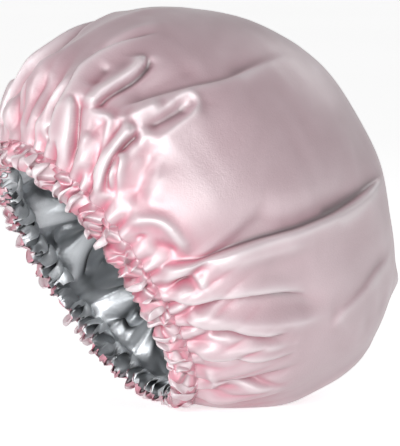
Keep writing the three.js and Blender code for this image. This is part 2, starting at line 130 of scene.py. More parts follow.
class Dome:
    """The smooth crown as a table of meridians, with a linear run-on before the edge."""

    TURNS, STEPS = 720, 400

    def __init__(self):
        self.rho = np.zeros((self.TURNS + 1, self.STEPS + 1))
        self.height = np.zeros_like(self.rho)
        self.length = np.zeros(self.TURNS + 1)
        for i in range(self.TURNS + 1):
            path = self._meridian(FULL_TURN * i / self.TURNS)
            run = np.concatenate([[0], np.cumsum(np.hypot(*np.diff(path, axis=0).T))])
            even = np.linspace(0, run[-1], self.STEPS + 1)
            self.rho[i] = np.interp(even, run, path[:, 0])
            self.height[i] = np.interp(even, run, path[:, 1])
            self.length[i] = run[-1]
        t = OPENING_TILT
        self.axes = np.array([
            [math.sin(t), 0, -math.cos(t)],
            [0, 1, 0],
            [math.cos(t), 0, math.sin(t)],
        ])
        back = self.rho[0][:, None] * self.axes[0] + self.height[0][:, None] * self.axes[2]
        low = back[back[:, 2].argmin()]
        self.centre = np.array([-low[0], 0, -low[2] - REST_SINK])

    @staticmethod
    def _around(turn, back, side, front):
        c = math.cos(turn)
        return side + ((back if c > 0 else front) - side) * c * c

    def _meridian(self, turn):
        edge = self._around(turn, OPENING_LONG_R, OPENING_SIDE_R, OPENING_LONG_R)
        reach = self._around(turn, BACK_BULGE_R, SIDE_BULGE_R, FRONT_BULGE_R)
        rise = self._around(turn, BACK_BULGE_RISE, SIDE_BULGE_RISE, FRONT_BULGE_RISE)
        handle = HANDLE_SHARE * math.hypot(reach - edge, rise)
        corners = np.array([
            [edge, 0],
            [edge + handle * math.cos(LEAVE_ANGLE), handle * math.sin(LEAVE_ANGLE)],
            [reach, rise - handle],
            [reach, rise],
        ])
        flare = bezier(corners, np.linspace(0, 1, 200)[:, None])
        angle = np.linspace(0, math.pi / 2, 400)[1:]
        out = np.maximum(np.cos(angle), 0) ** (2 / CROWN_POWER)
        along = np.sin(angle) ** (2 / CROWN_POWER)
        crown = np.stack([reach * out, rise + (CROWN_DEPTH - rise) * along], -1)
        return np.concatenate([flare, crown])

    def length_at(self, turn):
        share = np.mod(turn, FULL_TURN) / FULL_TURN
        return np.interp(share * self.TURNS, np.arange(self.TURNS + 1), self.length)

    def _look(self, table, turn, share):
        a = np.mod(turn, FULL_TURN) / FULL_TURN * self.TURNS
        b = np.clip(share, 0, 1) * self.STEPS
        i = np.minimum(a.astype(int), self.TURNS - 1)
        j = np.minimum(b.astype(int), self.STEPS - 1)
        u, v = a - i, b - j
        return ((1 - u) * ((1 - v) * table[i, j] + v * table[i, j + 1])
                + u * ((1 - v) * table[i + 1, j] + v * table[i + 1, j + 1]))

    def place(self, turn, way, lift=0.0):
        """Points in the part's frame, not pressed by the ground."""
        turn, way, lift = np.broadcast_arrays(*(np.asarray(x, float) for x in (turn, way, lift)))
        share = way / self.length_at(turn)
        step = 1.5 / self.STEPS
        rho, height = self._look(self.rho, turn, share), self._look(self.height, turn, share)
        ahead, behind = np.clip(share + step, 0, 1), np.clip(share - step, 0, 1)
        d_rho = self._look(self.rho, turn, ahead) - self._look(self.rho, turn, behind)
        d_height = self._look(self.height, turn, ahead) - self._look(self.height, turn, behind)
        size = np.hypot(d_rho, d_height) + 1e-12
        d_rho, d_height = d_rho / size, d_height / size
        before = np.minimum(way, 0)
        rho = rho + before * d_rho + lift * d_height
        height = height + before * d_height - lift * d_rho
        return self.from_opening(polar(turn, rho, height))

    def from_opening(self, points):
        """From the opening's frame, with its axis as the third, to the part's frame."""
        return points @ self.axes + self.centre

    def to_opening(self, points):
        return (points - self.centre) @ self.axes.T


DOME = Dome()


def press(points, ground=0.0):
    """Cloth that would go below its ground rounds into it and lies flat."""
    z = points[..., 2]
    above = z - ground + REST_CUT
    soft = np.where(above > -SAG_REACH, (above + SAG_REACH) ** 2 / (4 * SAG_REACH), 0)
    pressed = ground + np.maximum(soft - REST_CUT, 0)
    points[..., 2] = np.where(above < SAG_REACH, pressed, z)
    return points


# The camera as three unit vectors and the point that it looks at
VIEW_RIGHT = np.array([math.cos(CAMERA_TURN), math.sin(CAMERA_TURN), 0])
VIEW_BACK = np.array([
    math.sin(CAMERA_TURN) * math.cos(CAMERA_RISE),
    -math.cos(CAMERA_TURN) * math.cos(CAMERA_RISE),
    math.sin(CAMERA_RISE),
])
VIEW_UP = np.cross(VIEW_BACK, VIEW_RIGHT)
VIEW_TARGET = CAMERA_RIGHT * VIEW_RIGHT + CAMERA_UP * VIEW_UP
VIEW_PLACE = VIEW_TARGET + CAMERA_AWAY * VIEW_BACK


def dome_tree():
    turns, shares = 180, 120
    turn = np.linspace(0, FULL_TURN, turns, endpoint=False)
    share = np.linspace(0, 1, shares)
    a, b = np.meshgrid(turn, share)
    points = press(DOME.place(a, b * DOME.length_at(a)))
    verts = [Vector(p) for p in points.reshape(-1, 3)]
    faces = []
    for j in range(shares - 1):
        for i in range(turns):
            k = (i + 1) % turns
            faces.append((j * turns + i, j * turns + k, (j + 1) * turns + k, (j + 1) * turns + i))
    return BVHTree.FromPolygons(verts, faces)


TREE = dome_tree()


def behind_pixel(tree, x, y):
    """What of a tree lies behind a photo pixel: its place, normal, face and distance."""
    aim = (VIEW_TARGET + (x - PHOTO_W / 2) * PIXEL * VIEW_RIGHT
           - (y - PHOTO_H / 2) * PIXEL * VIEW_UP - VIEW_PLACE)
    return tree.ray_cast(Vector(VIEW_PLACE), Vector(aim).normalized())


def from_photo(path):
    """Places on the smooth crown that lie behind a line of photo pixels."""
    hits = [behind_pixel(TREE, x, y)[0] for x, y in path]
    return np.array([hit for hit in hits if hit is not None])


def from_photo_on(obj, place):
    """The same for cloth that has been shaped: where its points would lie on the smooth crown."""
    corners = [tuple(face.vertices) for face in obj.data.polygons]
    tree = BVHTree.FromPolygons([Vector(p) for p in get_points(obj.data.vertices)], corners)

    def find(path):
        hits = [behind_pixel(tree, x, y)[2] for x, y in path]
        return np.array([place[list(corners[hit])].mean(0) for hit in hits if hit is not None])

    return find


def rounded(path, rounds=3):
    """Chaikin's corner cutting."""
    for _ in range(rounds):
        a = 0.75 * path[:-1] + 0.25 * path[1:]
        b = 0.25 * path[:-1] + 0.75 * path[1:]
        path = np.concatenate([path[:1], np.stack([a, b], 1).reshape(-1, path.shape[1]), path[-1:]])
    return path


# Folds seen in the photograph, as photo pixels along each. A step is a crease with a ridge on the
# right of the path as it runs and a valley on its left: millimetres of the ridge's height and reach,
# the valley's depth and reach, and the width in which one turns into the other
STEPS = [
    ([(77, 97), (78, 105), (75, 129), (70, 152), (67, 179)], 6, 8, 4.5, 4.5, 1.2),
    ([(56, 150), (57, 136), (64, 109), (75, 88), (83, 72), (102, 54), (131, 40), (166, 30)],
     6.5, 11, 6, 8, 1.5),
    ([(147, 53), (143, 62), (134, 72), (115, 85), (99, 99), (93, 111)], 6, 7, 5, 7, 1.2),
    ([(139, 127), (126, 136), (115, 150), (107, 168), (104, 184), (101, 196)], 8, 7, 7, 7, 1.3),
    ([(115, 110), (136, 102), (183, 89), (223, 81), (250, 69), (290, 52)], 2.7, 13, 2.6, 13, 2.4),
    ([(64, 118), (57, 124), (49, 130), (50, 142), (46, 160), (34, 172)], 5, 9, 4, 5, 1.3),
    ([(150, 267), (172, 267), (195, 265), (216, 259), (237, 251), (261, 243), (285, 236),
      (302, 231), (319, 224), (337, 216), (354, 205), (370, 188), (382, 172)], 7, 11, 6, 16, 1.2),
    ([(316, 298), (285, 291), (240, 294), (216, 297), (190, 300), (165, 297)], 4.6, 9, 5, 6, 1.2),
    ([(292, 333), (276, 334), (261, 334), (247, 332), (232, 327), (205, 322), (180, 316)],
     4.2, 6, 6, 6, 1.1),
    ([(300, 352), (261, 357), (237, 355), (223, 352), (196, 353), (174, 352)], 4.4, 6.5, 5, 6, 1.1),
    ([(330, 330), (342, 314), (354, 303), (371, 286), (382, 268), (394, 248)], 1.8, 11, 1.6, 12, 3.2),
    ([(172, 372), (190, 374), (214, 379), (250, 384), (290, 386)], 3.6, 6.5, 4, 6, 1.2),
]
# A crest is a rounded ridge: height and half width; a hollow has a negative height
CRESTS = [
    ([(93, 111), (97, 116), (112, 118), (110, 129), (105, 148), (102, 164), (99, 193)], 3.5, 3.2),
    ([(112, 119), (122, 119), (134, 116), (150, 109), (166, 103)], 3.6, 5),
    ([(134, 125), (150, 118), (165, 109), (178, 98), (190, 92), (199, 100), (197, 111), (186, 120),
      (170, 131), (157, 142)], 1.8, 2.3),
    ([(200, 100), (200, 112), (186, 124), (168, 136), (156, 150)], 2.6, 9),
    ([(142, 129), (158, 121), (176, 111), (192, 101)], -5, 5.4),
    ([(110, 195), (113, 176), (115, 160), (119, 153), (124, 158), (122, 172), (118, 192)], 4.5, 2.4),
    ([(140, 138), (146, 150), (146, 166), (138, 184), (126, 206)], -4.5, 7.5),
    ([(158, 160), (157, 182), (149, 208)], 2.4, 10),
    ([(138, 233), (139, 237), (140, 241)], -3.5, 3.6),
    ([(124, 231), (136, 219), (159, 219), (172, 229), (183, 247), (191, 262)], 4.5, 4.6),
    ([(148, 246), (165, 248), (178, 257)], -3.5, 5),
    ([(168, 284), (185, 280), (204, 285)], -3.5, 4),
    ([(163, 283), (173, 275), (186, 273), (200, 278), (211, 292)], 2.6, 3.2),
    ([(190, 303), (220, 307), (255, 306), (295, 303), (335, 302)], -3.2, 8),
    ([(176, 303), (184, 309), (202, 315), (226, 320), (254, 324), (290, 324), (330, 316)], 3.6, 6),
    ([(170, 345), (190, 349), (233, 347), (261, 344), (295, 344)], 4, 4),
    ([(174, 368), (190, 366), (205, 360), (190, 355), (172, 360)], 3, 2.4),
    ([(195, 372), (205, 366), (214, 373), (214, 383), (204, 393)], 3.2, 3),
    ([(398, 276), (390, 300), (378, 318), (360, 332)], -1.5, 12),
    ([(340, 120), (362, 180), (374, 240)], 1.2, 14),
    ([(24, 151), (20, 125), (22, 107), (31, 89), (48, 66), (68, 50)], 3.4, 5),
    ([(33, 152), (30, 122), (36, 98), (54, 72)], -3, 5),
    ([(14, 158), (16, 130), (24, 106)], -2.5, 5),
    ([(86, 172), (88, 150), (92, 130)], 2.4, 5),
    ([(240, 215), (262, 226), (286, 222)], -2.2, 14),
    ([(44, 168), (41, 142), (46, 118), (58, 97), (78, 76), (104, 56)], 2.6, 4.2),
    ([(60, 160), (67, 138), (71, 118), (80, 100)], 2.4, 3.2),
    ([(118, 98), (142, 88), (172, 75), (204, 64)], -1.8, 8),
    ([(98, 48), (128, 31), (164, 22)], 1.8, 6),
    ([(210, 268), (240, 262), (275, 252), (310, 243)], 2.6, 5),
    ([(176, 330), (205, 334), (236, 338), (272, 337)], 2.2, 3.5),
    ([(110, 64), (100, 74), (92, 90)], -2.5, 5),
    ([(30, 165), (42, 172), (56, 168)], -4, 4),
]
# How a crease runs: it starts within a share of its length and dies out inland over another share,
# which is larger on long ones; it reaches a little past its ends, and its ridge leans over the valley
FOLD_START = 0.12
FADE_LENGTHS, FADE_SHARES = (0.05, 0.09), (0.14, 0.42)
PAST_END = 0.004
RIDGE_POWER = 1.5
RIDGE_LEAN = 0.42
# How a crest runs: its tapers are some widths long, within two shares of its length, and leave a little
TAPER_WIDTHS = 1.3
TAPER_SHARES = (0.25, 0.5)
CREST_LEAST = 0.15
CREST_POWER, HOLLOW_POWER = 1.6, 1.9
# Where the folds of the unseen side lie: the seen ones mirrored, then turned and spread a little, and
# faded in across the middle
MIRROR_TURN = math.radians(7)
MIRROR_SPREAD = 1.05
FAR_SIDE_FROM, FAR_SIDE_TO = -0.03, 0.01
# Further folds towards the forehead and the nape: turn and share of the way, height and half width
OTHER_CRESTS = [
    ([(0.02, 0.0), (0.03, 0.16), (0.05, 0.34)], 6, 6),
    ([(0.985, 0.0), (0.99, 0.14), (0.97, 0.3)], 6, 5),
    ([(0.95, 0.0), (0.955, 0.18), (0.945, 0.42)], 7, 6),
    ([(0.51, 0.0), (0.505, 0.2), (0.515, 0.5)], 6, 6),
    ([(0.475, 0.0), (0.47, 0.14), (0.45, 0.3)], 6, 5),
    ([(0.54, 0.0), (0.545, 0.12), (0.54, 0.26)], 5, 5),
    ([(0.235, 0.3), (0.22, 0.44), (0.215, 0.6)], 5, 8),
    ([(0.05, 0.6), (0.1, 0.54), (0.16, 0.6)], 4, 9),
    ([(0.92, 0.55), (0.97, 0.6), (0.02, 0.66)], 4, 9),
]


def along_path(points, path):
    """Nearest point of a path for each point: share of the path, offset vector, direction."""
    starts, steps = path[:-1], np.diff(path, axis=0)
    sizes = np.linalg.norm(steps, axis=1)
    run = np.concatenate([[0], np.cumsum(sizes)])
    best = np.full(len(points), np.inf)
    share = np.zeros(len(points))
    offset = np.zeros_like(points)
    direction = np.zeros_like(points)
    for s, d, size, before in zip(starts, steps, sizes, run):
        t = np.clip(((points - s) @ d) / (size * size), 0, 1)
        off = points - s - t[:, None] * d
        dist = np.linalg.norm(off, axis=1)
        near = dist < best
        best = np.where(near, dist, best)
        share = np.where(near, (before + t * size) / run[-1], share)
        offset[near] = off[near]
        direction[near] = d / size
    return share, offset, direction


def path_length(path):
    return np.linalg.norm(np.diff(path, axis=0), axis=1).sum()


def fold_field(points, normals, steps, crests, others, find=from_photo):
    """Offset that the creases, ridges and hollows give each point of the smooth crown."""
    move = np.zeros_like(points)

    def near_path(path, reach):
        low, high = path.min(0) - reach, path.max(0) + reach
        return np.nonzero(((points > low) & (points < high)).all(1))[0]

    def step(path, hand, high, high_reach, deep, deep_reach, turn_in):
        path = rounded(path)
        some = near_path(path, 3 * max(high_reach, deep_reach))
        share, offset, direction = along_path(points[some], path)
        across = hand * unit(np.cross(direction, normals[some]))
        side = (offset * across).sum(1)
        near = np.linalg.norm(offset, axis=1)
        heights = DOME.to_opening(path[[0, -1]])[:, 2]
        run = share if heights[0] < heights[1] else 1 - share
        fade = np.interp(path_length(path), FADE_LENGTHS, FADE_SHARES)
        ends = smooth(run, 0, FOLD_START) * (1 - smooth(run, 1 - fade, 1))
        past_end = np.exp(-((near ** 2 - side ** 2).clip(0) / PAST_END ** 2))
        over = 1 / (1 + np.exp(-np.clip(side / (turn_in / 2), -30, 30)))
        ridge = high * np.exp(-(np.maximum(side, 0) / high_reach) ** RIDGE_POWER)
        valley = deep * np.exp(-(np.minimum(side, 0) / deep_reach) ** 2)
        size = ends * past_end
        lift = size * (over * ridge - (1 - over) * valley)
        lean = -size * over * RIDGE_LEAN * high * np.exp(-(side / (high_reach / 2)) ** 2)
        move[some] += lift[:, None] * normals[some] + lean[:, None] * across

    def crest(path, high, wide):
        path = rounded(path)
        some = near_path(path, 3 * wide)
        share, offset, _ = along_path(points[some], path)
        near = np.linalg.norm(offset, axis=1)
        taper = np.clip(TAPER_WIDTHS * wide / path_length(path), *TAPER_SHARES)
        full = smooth(share, 0, taper) * (1 - smooth(share, 1 - taper, 1))
        ends = CREST_LEAST + (1 - CREST_LEAST) * full
        power = CREST_POWER if high > 0 else HOLLOW_POWER
        move[some] += (high * ends * np.exp(-(near / wide) ** power))[:, None] * normals[some]

    def mirrored(path):
        local = DOME.to_opening(path)
        turn = -np.arctan2(local[:, 1], local[:, 0]) + MIRROR_TURN
        reach = np.hypot(local[:, 0], local[:, 1])
        turned = DOME.from_opening(polar(turn, reach, local[:, 2] * MIRROR_SPREAD))
        return np.array([TREE.find_nearest(Vector(p))[0] for p in turned])

    for far_side in (True, False):
        hand = -1 if far_side else 1
        for make, given, folds in ((step, (hand,), steps), (crest, (), crests)):
            for path, *sizes in folds:
                found = find(path)
                if len(found) > 1:
                    found = mirrored(found) if far_side else found
                    make(found, *given, *(size / 1000 for size in sizes))
        if far_side:
            move *= smooth(points[:, 1], FAR_SIDE_FROM, FAR_SIDE_TO)[:, None]
    for path, *sizes in others:
        turn, share = (np.array(x) for x in zip(*path))
        turn = np.unwrap(turn * FULL_TURN)
        way = CASING_WIDTH + share * (DOME.length_at(turn) - CASING_WIDTH)
        crest(press(DOME.place(turn, way)), *(size / 1000 for size in sizes))
    return move


def meander(turn, seed, size, waves=(3, 5, 8, 13)):
    """A smooth wander round the bonnet, the same each run."""
    draw = np.random.default_rng(seed)
    out = np.zeros_like(turn)
    for n in waves:
        out += draw.uniform(0.5, 1) / n * np.sin(n * turn + draw.uniform(0, FULL_TURN))
    return size * out


GATHERS = 48
GATHER_SIZES = (0.35, 1.4)       # the least and the most of a gather's own size


def pleat(phase):
    """A wave with narrow crests and creases, from -1 to 1."""
    return np.arcsin(0.97 * np.cos(phase)) / math.asin(0.97)


def puff(phase):
    """A wave of round crests between sharp creases, from -1 to 1."""
    return 2 * np.sqrt(np.sin(phase / 2) ** 2 + 0.004) ** 0.85 - 1


def broad_part(turn):
    """One where the sides puff out smoothly, and nought where folds run far into the crown."""
    share = np.mod(turn / FULL_TURN, 1)
    share = np.where(share > 0.5, share, 1.02 - share)
    return smooth(share, 0.628, 0.652) * (1 - smooth(share, 0.728, 0.748))


def gather_phase(turn):
    """One full turn for each gather; they crowd and spread as it wanders."""
    return GATHERS * turn + meander(turn, 11, 9.0, (2, 5, 7, 11, 17))


def gather_size(turn, seed=12):
    """Each gather has a size of its own."""
    draw = np.random.default_rng(seed)
    sizes = draw.uniform(*GATHER_SIZES, GATHERS + 1)
    sizes[-1] = sizes[0]
    place = np.mod(gather_phase(turn) / FULL_TURN, GATHERS)
    return np.interp(place, np.arange(GATHERS + 1), sizes)


def beside_slit(turn, width=math.radians(5)):
    """Nought at the slit, where the cloth lies smooth for the loop, and one away from it."""
    off = turn - LOOP_TURN - FULL_TURN * np.round((turn - LOOP_TURN) / FULL_TURN)
    return 1 - np.exp(-(off / width) ** 4)


# Rows lie closer within the first of these distances from the edge, and evenly past the second
CLOSE_ROWS, EVEN_ROWS = 0.08, 0.14
NARROWEST = 0.55                 # columns join where they get narrower than this share of a row


def disc_rows(outer_r, step, columns, least, near_edge):
    """Radii and column counts of a polar net, with near_edge as the share of a step near its edge."""
    rows, r, count = [], outer_r, columns
    while r > step * 1.5:
        while count > least and FULL_TURN * r / count < step * NARROWEST:
            count //= 2
        rows.append((r, count))
        r -= step * (near_edge + (1 - near_edge) * float(smooth(outer_r - r, CLOSE_ROWS, EVEN_ROWS)))
    return rows


def disc_mesh(name, rows):
    """Flat polar net with a middle point. Returns the object, and each vertex's angle and radius."""
    angle, radius, starts = [], [], []
    for r, count in rows:
        starts.append(len(angle))
        angle += [FULL_TURN * i / count for i in range(count)]
        radius += [r] * count
    faces = []
    for (ra, na), (rb, nb), a, b in zip(rows, rows[1:], starts, starts[1:]):
        if na == nb:
            faces += [(a + i, a + (i + 1) % na, b + (i + 1) % na, b + i) for i in range(na)]
        else:
            for i in range(nb):
                p, q, s = a + 2 * i, a + 2 * i + 1, a + (2 * i + 2) % na
                u, v = b + i, b + (i + 1) % nb
                faces += [(p, q, u), (q, v, u), (q, s, v)]
    middle = len(angle)
    angle.append(0.0)
    radius.append(0.0)
    last, count = starts[-1], rows[-1][1]
    faces += [(last + i, last + (i + 1) % count, middle) for i in range(count)]
    mesh = bpy.data.meshes.new(name)
    mesh.from_pydata([(0, 0, 0)] * len(angle), [], faces)
    return placed(name, mesh), np.array(angle), np.array(radius)


def set_points(target, points):
    target.foreach_set("co", np.asarray(points, np.float32).ravel())


def get_points(source):
    co = np.zeros(len(source) * 3, np.float32)
    source.foreach_get("co", co)
    return co.reshape(-1, 3).astype(float)


def get_normals(mesh):
    lean = np.zeros(len(mesh.vertices) * 3, np.float32)
    mesh.vertices.foreach_get("normal", lean)
    return lean.reshape(-1, 3).astype(float)


def simulate(obj, start, flat, hold, frames, pressure, bending):
    """Lets cloth cut as the flat net settle from its start; hold is how firmly each point stays."""
    set_points(obj.data.vertices, start)
    obj.shape_key_add(name="start", from_mix=False)
    key = obj.shape_key_add(name="flat", from_mix=False)
    set_points(key.data, flat)
    key.value = 0
    group = obj.vertex_groups.new(name="hold")
    for weight in np.unique(np.round(hold, 2)):
        if weight > 0:
            group.add(np.nonzero(np.abs(hold - weight) < 0.005)[0].tolist(), float(weight), "REPLACE")
    cloth = obj.modifiers.new("cloth", "CLOTH")
    s = cloth.settings
    s.quality = 5
    s.mass = 0.08
    s.tension_stiffness = 12
    s.compression_stiffness = 12
    s.shear_stiffness = 4
    s.bending_stiffness = bending
    s.tension_damping = s.compression_damping = s.shear_damping = 8
    s.bending_damping = 0.5
    s.air_damping = 4
    s.vertex_group_mass = "hold"
    s.pin_stiffness = 1.0
    s.rest_shape_key = key
    s.effector_weights.gravity = 0
    s.use_pressure = pressure != 0
    s.uniform_pressure_force = pressure
    cloth.collision_settings.use_collision = False
    cloth.collision_settings.use_self_collision = False
    scene = bpy.context.scene
    scene.frame_start, scene.frame_end = 1, frames
    cloth.point_cache.frame_start, cloth.point_cache.frame_end = 1, frames
    for number in range(1, frames + 1):
        scene.frame_set(number)
    shaped = obj.evaluated_get(bpy.context.evaluated_depsgraph_get())
    result = get_points(shaped.data.vertices)
    obj.modifiers.remove(cloth)
    obj.shape_key_clear()
    obj.vertex_groups.clear()
    scene.frame_set(1)
    return result


def subdivide(obj, levels=1):
    modifier = obj.modifiers.new("finer", "SUBSURF")
    modifier.levels = modifier.render_levels = levels
    modifier.boundary_smooth = "PRESERVE_CORNERS"
    mesh = bpy.data.meshes.new_from_object(obj.evaluated_get(bpy.context.evaluated_depsgraph_get()))
    obj.modifiers.clear()
    old, obj.data = obj.data, mesh
    bpy.data.meshes.remove(old)
    mesh.name = obj.name


def dome_normals(turn, way):
    near, near_turn = 0.001, 0.01
    a = DOME.place(turn + near_turn, way) - DOME.place(turn - near_turn, way)
    b = DOME.place(turn, way + near) - DOME.place(turn, way - near)
    n = unit(np.cross(a, b))
    out = DOME.place(turn, way, near) - DOME.place(turn, way)
    return n * np.sign((n * out).sum(1))[:, None]


# Where gathers of each width lie past the stitched line: height, middle of the zone and its reach
FINE_GATHERS = (0.0034, 0.0, 0.014)
MIDDLE_GATHERS = (0.0040, 0.015, 0.014)
WIDE_GATHERS = (0.0034, 0.036, 0.022)
QUIET_SHORTER = 0.005            # how much sooner the fine ones end on the smooth sides
WIDE_COUNT = 15


def crown_gathers(turn, past):
    """Gathers at the stitched line that join into fewer, wider ones further into the crown."""
    quiet = broad_part(turn)

    def zone(high, middle, reach):
        return high * np.exp(-((past - middle) / reach) ** 2)

    high, middle, reach = FINE_GATHERS
    fine = zone(high, middle, reach - QUIET_SHORTER * quiet)
    fine = fine * puff(gather_phase(turn)) * gather_size(turn)
    joined = zone(*MIDDLE_GATHERS) * (1 - 0.95 * quiet)
    joined = joined * puff(gather_phase(turn) / 2 + meander(turn, 21, 3.0) + past * 40)
    wide = zone(*WIDE_GATHERS) * (1 - quiet)
    wide = wide * puff(WIDE_COUNT * turn + meander(turn, 31, 8.0) + past * 20)
    return fine + (joined + wide) * smooth(past, 0, 0.01)


def crown_cloth(name, rows, depth, frames, pressure, bending, hold, shape):
    """Cloth that settles from a first shape. Returns the object, and for each point of its finer mesh
    its place on the smooth crown, the normal there, its turn and its height over the opening."""
    obj, angle, radius = disc_mesh(name, rows)
    share = 1 - radius / CROWN_DISC_R
    length = DOME.length_at(angle)
    past = share * (length - CASING_WIDTH)
    way = CASING_WIDTH + past
    base = DOME.place(angle, way)
    normals = dome_normals(angle, np.minimum(way, length - 0.002))
    start = press(base + normals * (-depth) + shape(angle, past, share, base, normals), depth)
    set_points(obj.data.vertices, press(base.copy(), depth))
    smooth_crown = placed("smooth_crown", obj.data.copy())
    flat = polar(angle, radius, np.zeros_like(angle))
    firm = np.where(past < 1e-6, 1.0, hold)
    set_points(obj.data.vertices, simulate(obj, start, flat, firm, frames, pressure, bending))
    subdivide(obj)
    subdivide(smooth_crown)
    place = get_points(smooth_crown.data.vertices)
    out = get_normals(smooth_crown.data)
    if (out * (place - place.mean(0))).sum() < 0:
        out = -out
    bpy.data.objects.remove(smooth_crown)
    local = DOME.to_opening(place)
    return obj, place, out, np.arctan2(local[:, 1], local[:, 0]), local[:, 2]


SWELL_LOW, SWELL_HIGH = 0.0004, 0.00018
CRINKLE = 0.0008
CRINKLES_FROM, CRINKLES_TO = (0.008, 0.02), (0.028, 0.07)
# The outer crown's folds stay free up to the first height and round off within the second, out and in
OUT_FREE, OUT_MORE = 0.004, 0.004
IN_FREE, IN_MORE = 0.0055, 0.003


def swell(points):
    """Broad soft unevenness of puffed cloth, in waves 40 to 110 mm long that bend each other."""
    x, y, z = points.T
    low = np.sin(92 * x + 1.1 + 1.7 * np.sin(61 * z)) + np.sin(84 * z + 2.3 + 1.5 * np.sin(57 * y + 0.4))
    high = np.sin(150 * y + 0.7 + 2 * np.sin(83 * x)) * np.sin(131 * z + 1.9 * np.sin(95 * x + 1))
    return SWELL_LOW * low + SWELL_HIGH * high


def crinkles(turn, height):
    """Fine wrinkles that run out of the gathers, by the height over the opening."""
    near = smooth(height, *CRINKLES_FROM) * (1 - smooth(height, *CRINKLES_TO)) * (1 - broad_part(turn))
    return CRINKLE * near * gather_size(turn, 6) * puff(62 * turn + meander(turn, 61, 9.0) + 80 * height)


def outer_start(turn, past, share, base, normals):
    sink = 0.0018 * smooth(past, 0.005, 0.05) * (1 - smooth(share, 0.45, 0.8))
    lift = crown_gathers(turn, past) * beside_slit(turn) - sink
    return lift[:, None] * normals


def rounded_off(lift, free, more):
    return np.where(lift > free, free + more * np.tanh((lift - free) / more), lift)


def outer_crown():
    rows = disc_rows(CROWN_DISC_R, step=0.0042, columns=416, least=26, near_edge=0.64)
    obj, place, out, turn, height = crown_cloth(
        "outer_crown_satin", rows, depth=0.0, frames=28, pressure=1.8, bending=0.35, hold=0.36,
        shape=outer_start)
    fade = smooth(height, 0.012, 0.024) * beside_slit(turn)
    folds = fold_field(place, out, STEPS, CRESTS, OTHER_CRESTS)
    points = get_points(obj.data.vertices) + folds * fade[:, None]
    points += ((swell(place) + crinkles(turn, height)) * fade)[:, None] * out
    lift = ((points - place) * out).sum(1)
    kept = -rounded_off(-rounded_off(lift, OUT_FREE, OUT_MORE), IN_FREE, IN_MORE)
    points += (kept - lift)[:, None] * out
    set_points(obj.data.vertices, press(points))
    return obj


# The lining's slack folds: turn and share of the way, and how deep they hang
LINING_FOLDS = [
    ([(0.03, 0.02), (0.04, 0.2), (0.02, 0.5)], 0.030),
    ([(0.1, 0.02), (0.115, 0.22), (0.16, 0.45)], 0.026),
    ([(0.165, 0.02), (0.15, 0.16), (0.14, 0.3)], 0.022),
    ([(0.23, 0.02), (0.24, 0.2), (0.2, 0.5)], 0.030),
    ([(0.29, 0.02), (0.3, 0.18), (0.33, 0.4)], 0.026),
    ([(0.36, 0.02), (0.35, 0.22), (0.37, 0.55)], 0.030),
    ([(0.42, 0.02), (0.43, 0.16), (0.4, 0.32)], 0.022),
    ([(0.475, 0.02), (0.47, 0.2), (0.49, 0.5)], 0.028),
    ([(0.54, 0.02), (0.55, 0.18), (0.58, 0.42)], 0.026),
    ([(0.6, 0.02), (0.595, 0.2), (0.57, 0.45)], 0.028),
    ([(0.67, 0.02), (0.68, 0.2), (0.66, 0.5)], 0.028),
    ([(0.73, 0.02), (0.74, 0.16), (0.77, 0.36)], 0.022),
    ([(0.79, 0.02), (0.8, 0.22), (0.79, 0.5)], 0.030),
    ([(0.86, 0.02), (0.87, 0.18), (0.9, 0.4)], 0.026),
    ([(0.93, 0.02), (0.925, 0.2), (0.95, 0.5)], 0.030),
    ([(0.2, 0.3), (0.26, 0.36), (0.31, 0.3)], 0.020),
    ([(0.45, 0.34), (0.52, 0.3), (0.6, 0.36)], 0.020),
    ([(0.7, 0.32), (0.77, 0.4), (0.84, 0.34)], 0.020),
    ([(0.96, 0.36), (0.03, 0.3), (0.08, 0.36)], 0.020),
]


LINING_FOLD_WIDTH, LINING_FOLD_SPREAD = 0.0085, 0.008
LINING_SLACK, LINING_SLACK_VARIES = 0.006, 0.004
FOLD_SWAY = 0.5                  # how far a slack fold sways sideways, in its own depths


def lining_shape(turn, past, share, base, normals):
    """Deep slack folds that hang into the bonnet."""
    depth = np.zeros(len(turn))
    slide = np.zeros_like(base)
    for path, height in LINING_FOLDS:
        a, b = (np.array(x) for x in zip(*path))
        a = a * FULL_TURN
        found = rounded(DOME.place(a, CASING_WIDTH + b * (DOME.length_at(a) - CASING_WIDTH)))
        along, offset, direction = along_path(base, found)
        across = unit(np.cross(direction, normals))
        near = np.linalg.norm(offset, axis=1)
        wide = LINING_FOLD_WIDTH + LINING_FOLD_SPREAD * along
        bump = np.exp(-(near / wide) ** 2) * (1 - smooth(along, 0.6, 1))
        depth += height * bump
        slide += across * (FOLD_SWAY * height * bump * np.sin(9 * along + 40 * a[0]))[:, None]
    uneven = np.sin(7 * turn + 2 * np.sin(3 * turn)) * np.sin(9 * share)
    slack = LINING_SLACK + LINING_SLACK_VARIES * uneven
    fade = smooth(past, 0, 0.012)
    lift = -(depth + slack) * fade - 0.6 * np.maximum(-crown_gathers(turn, past), 0)
    return lift[:, None] * normals + slide * fade[:, None]


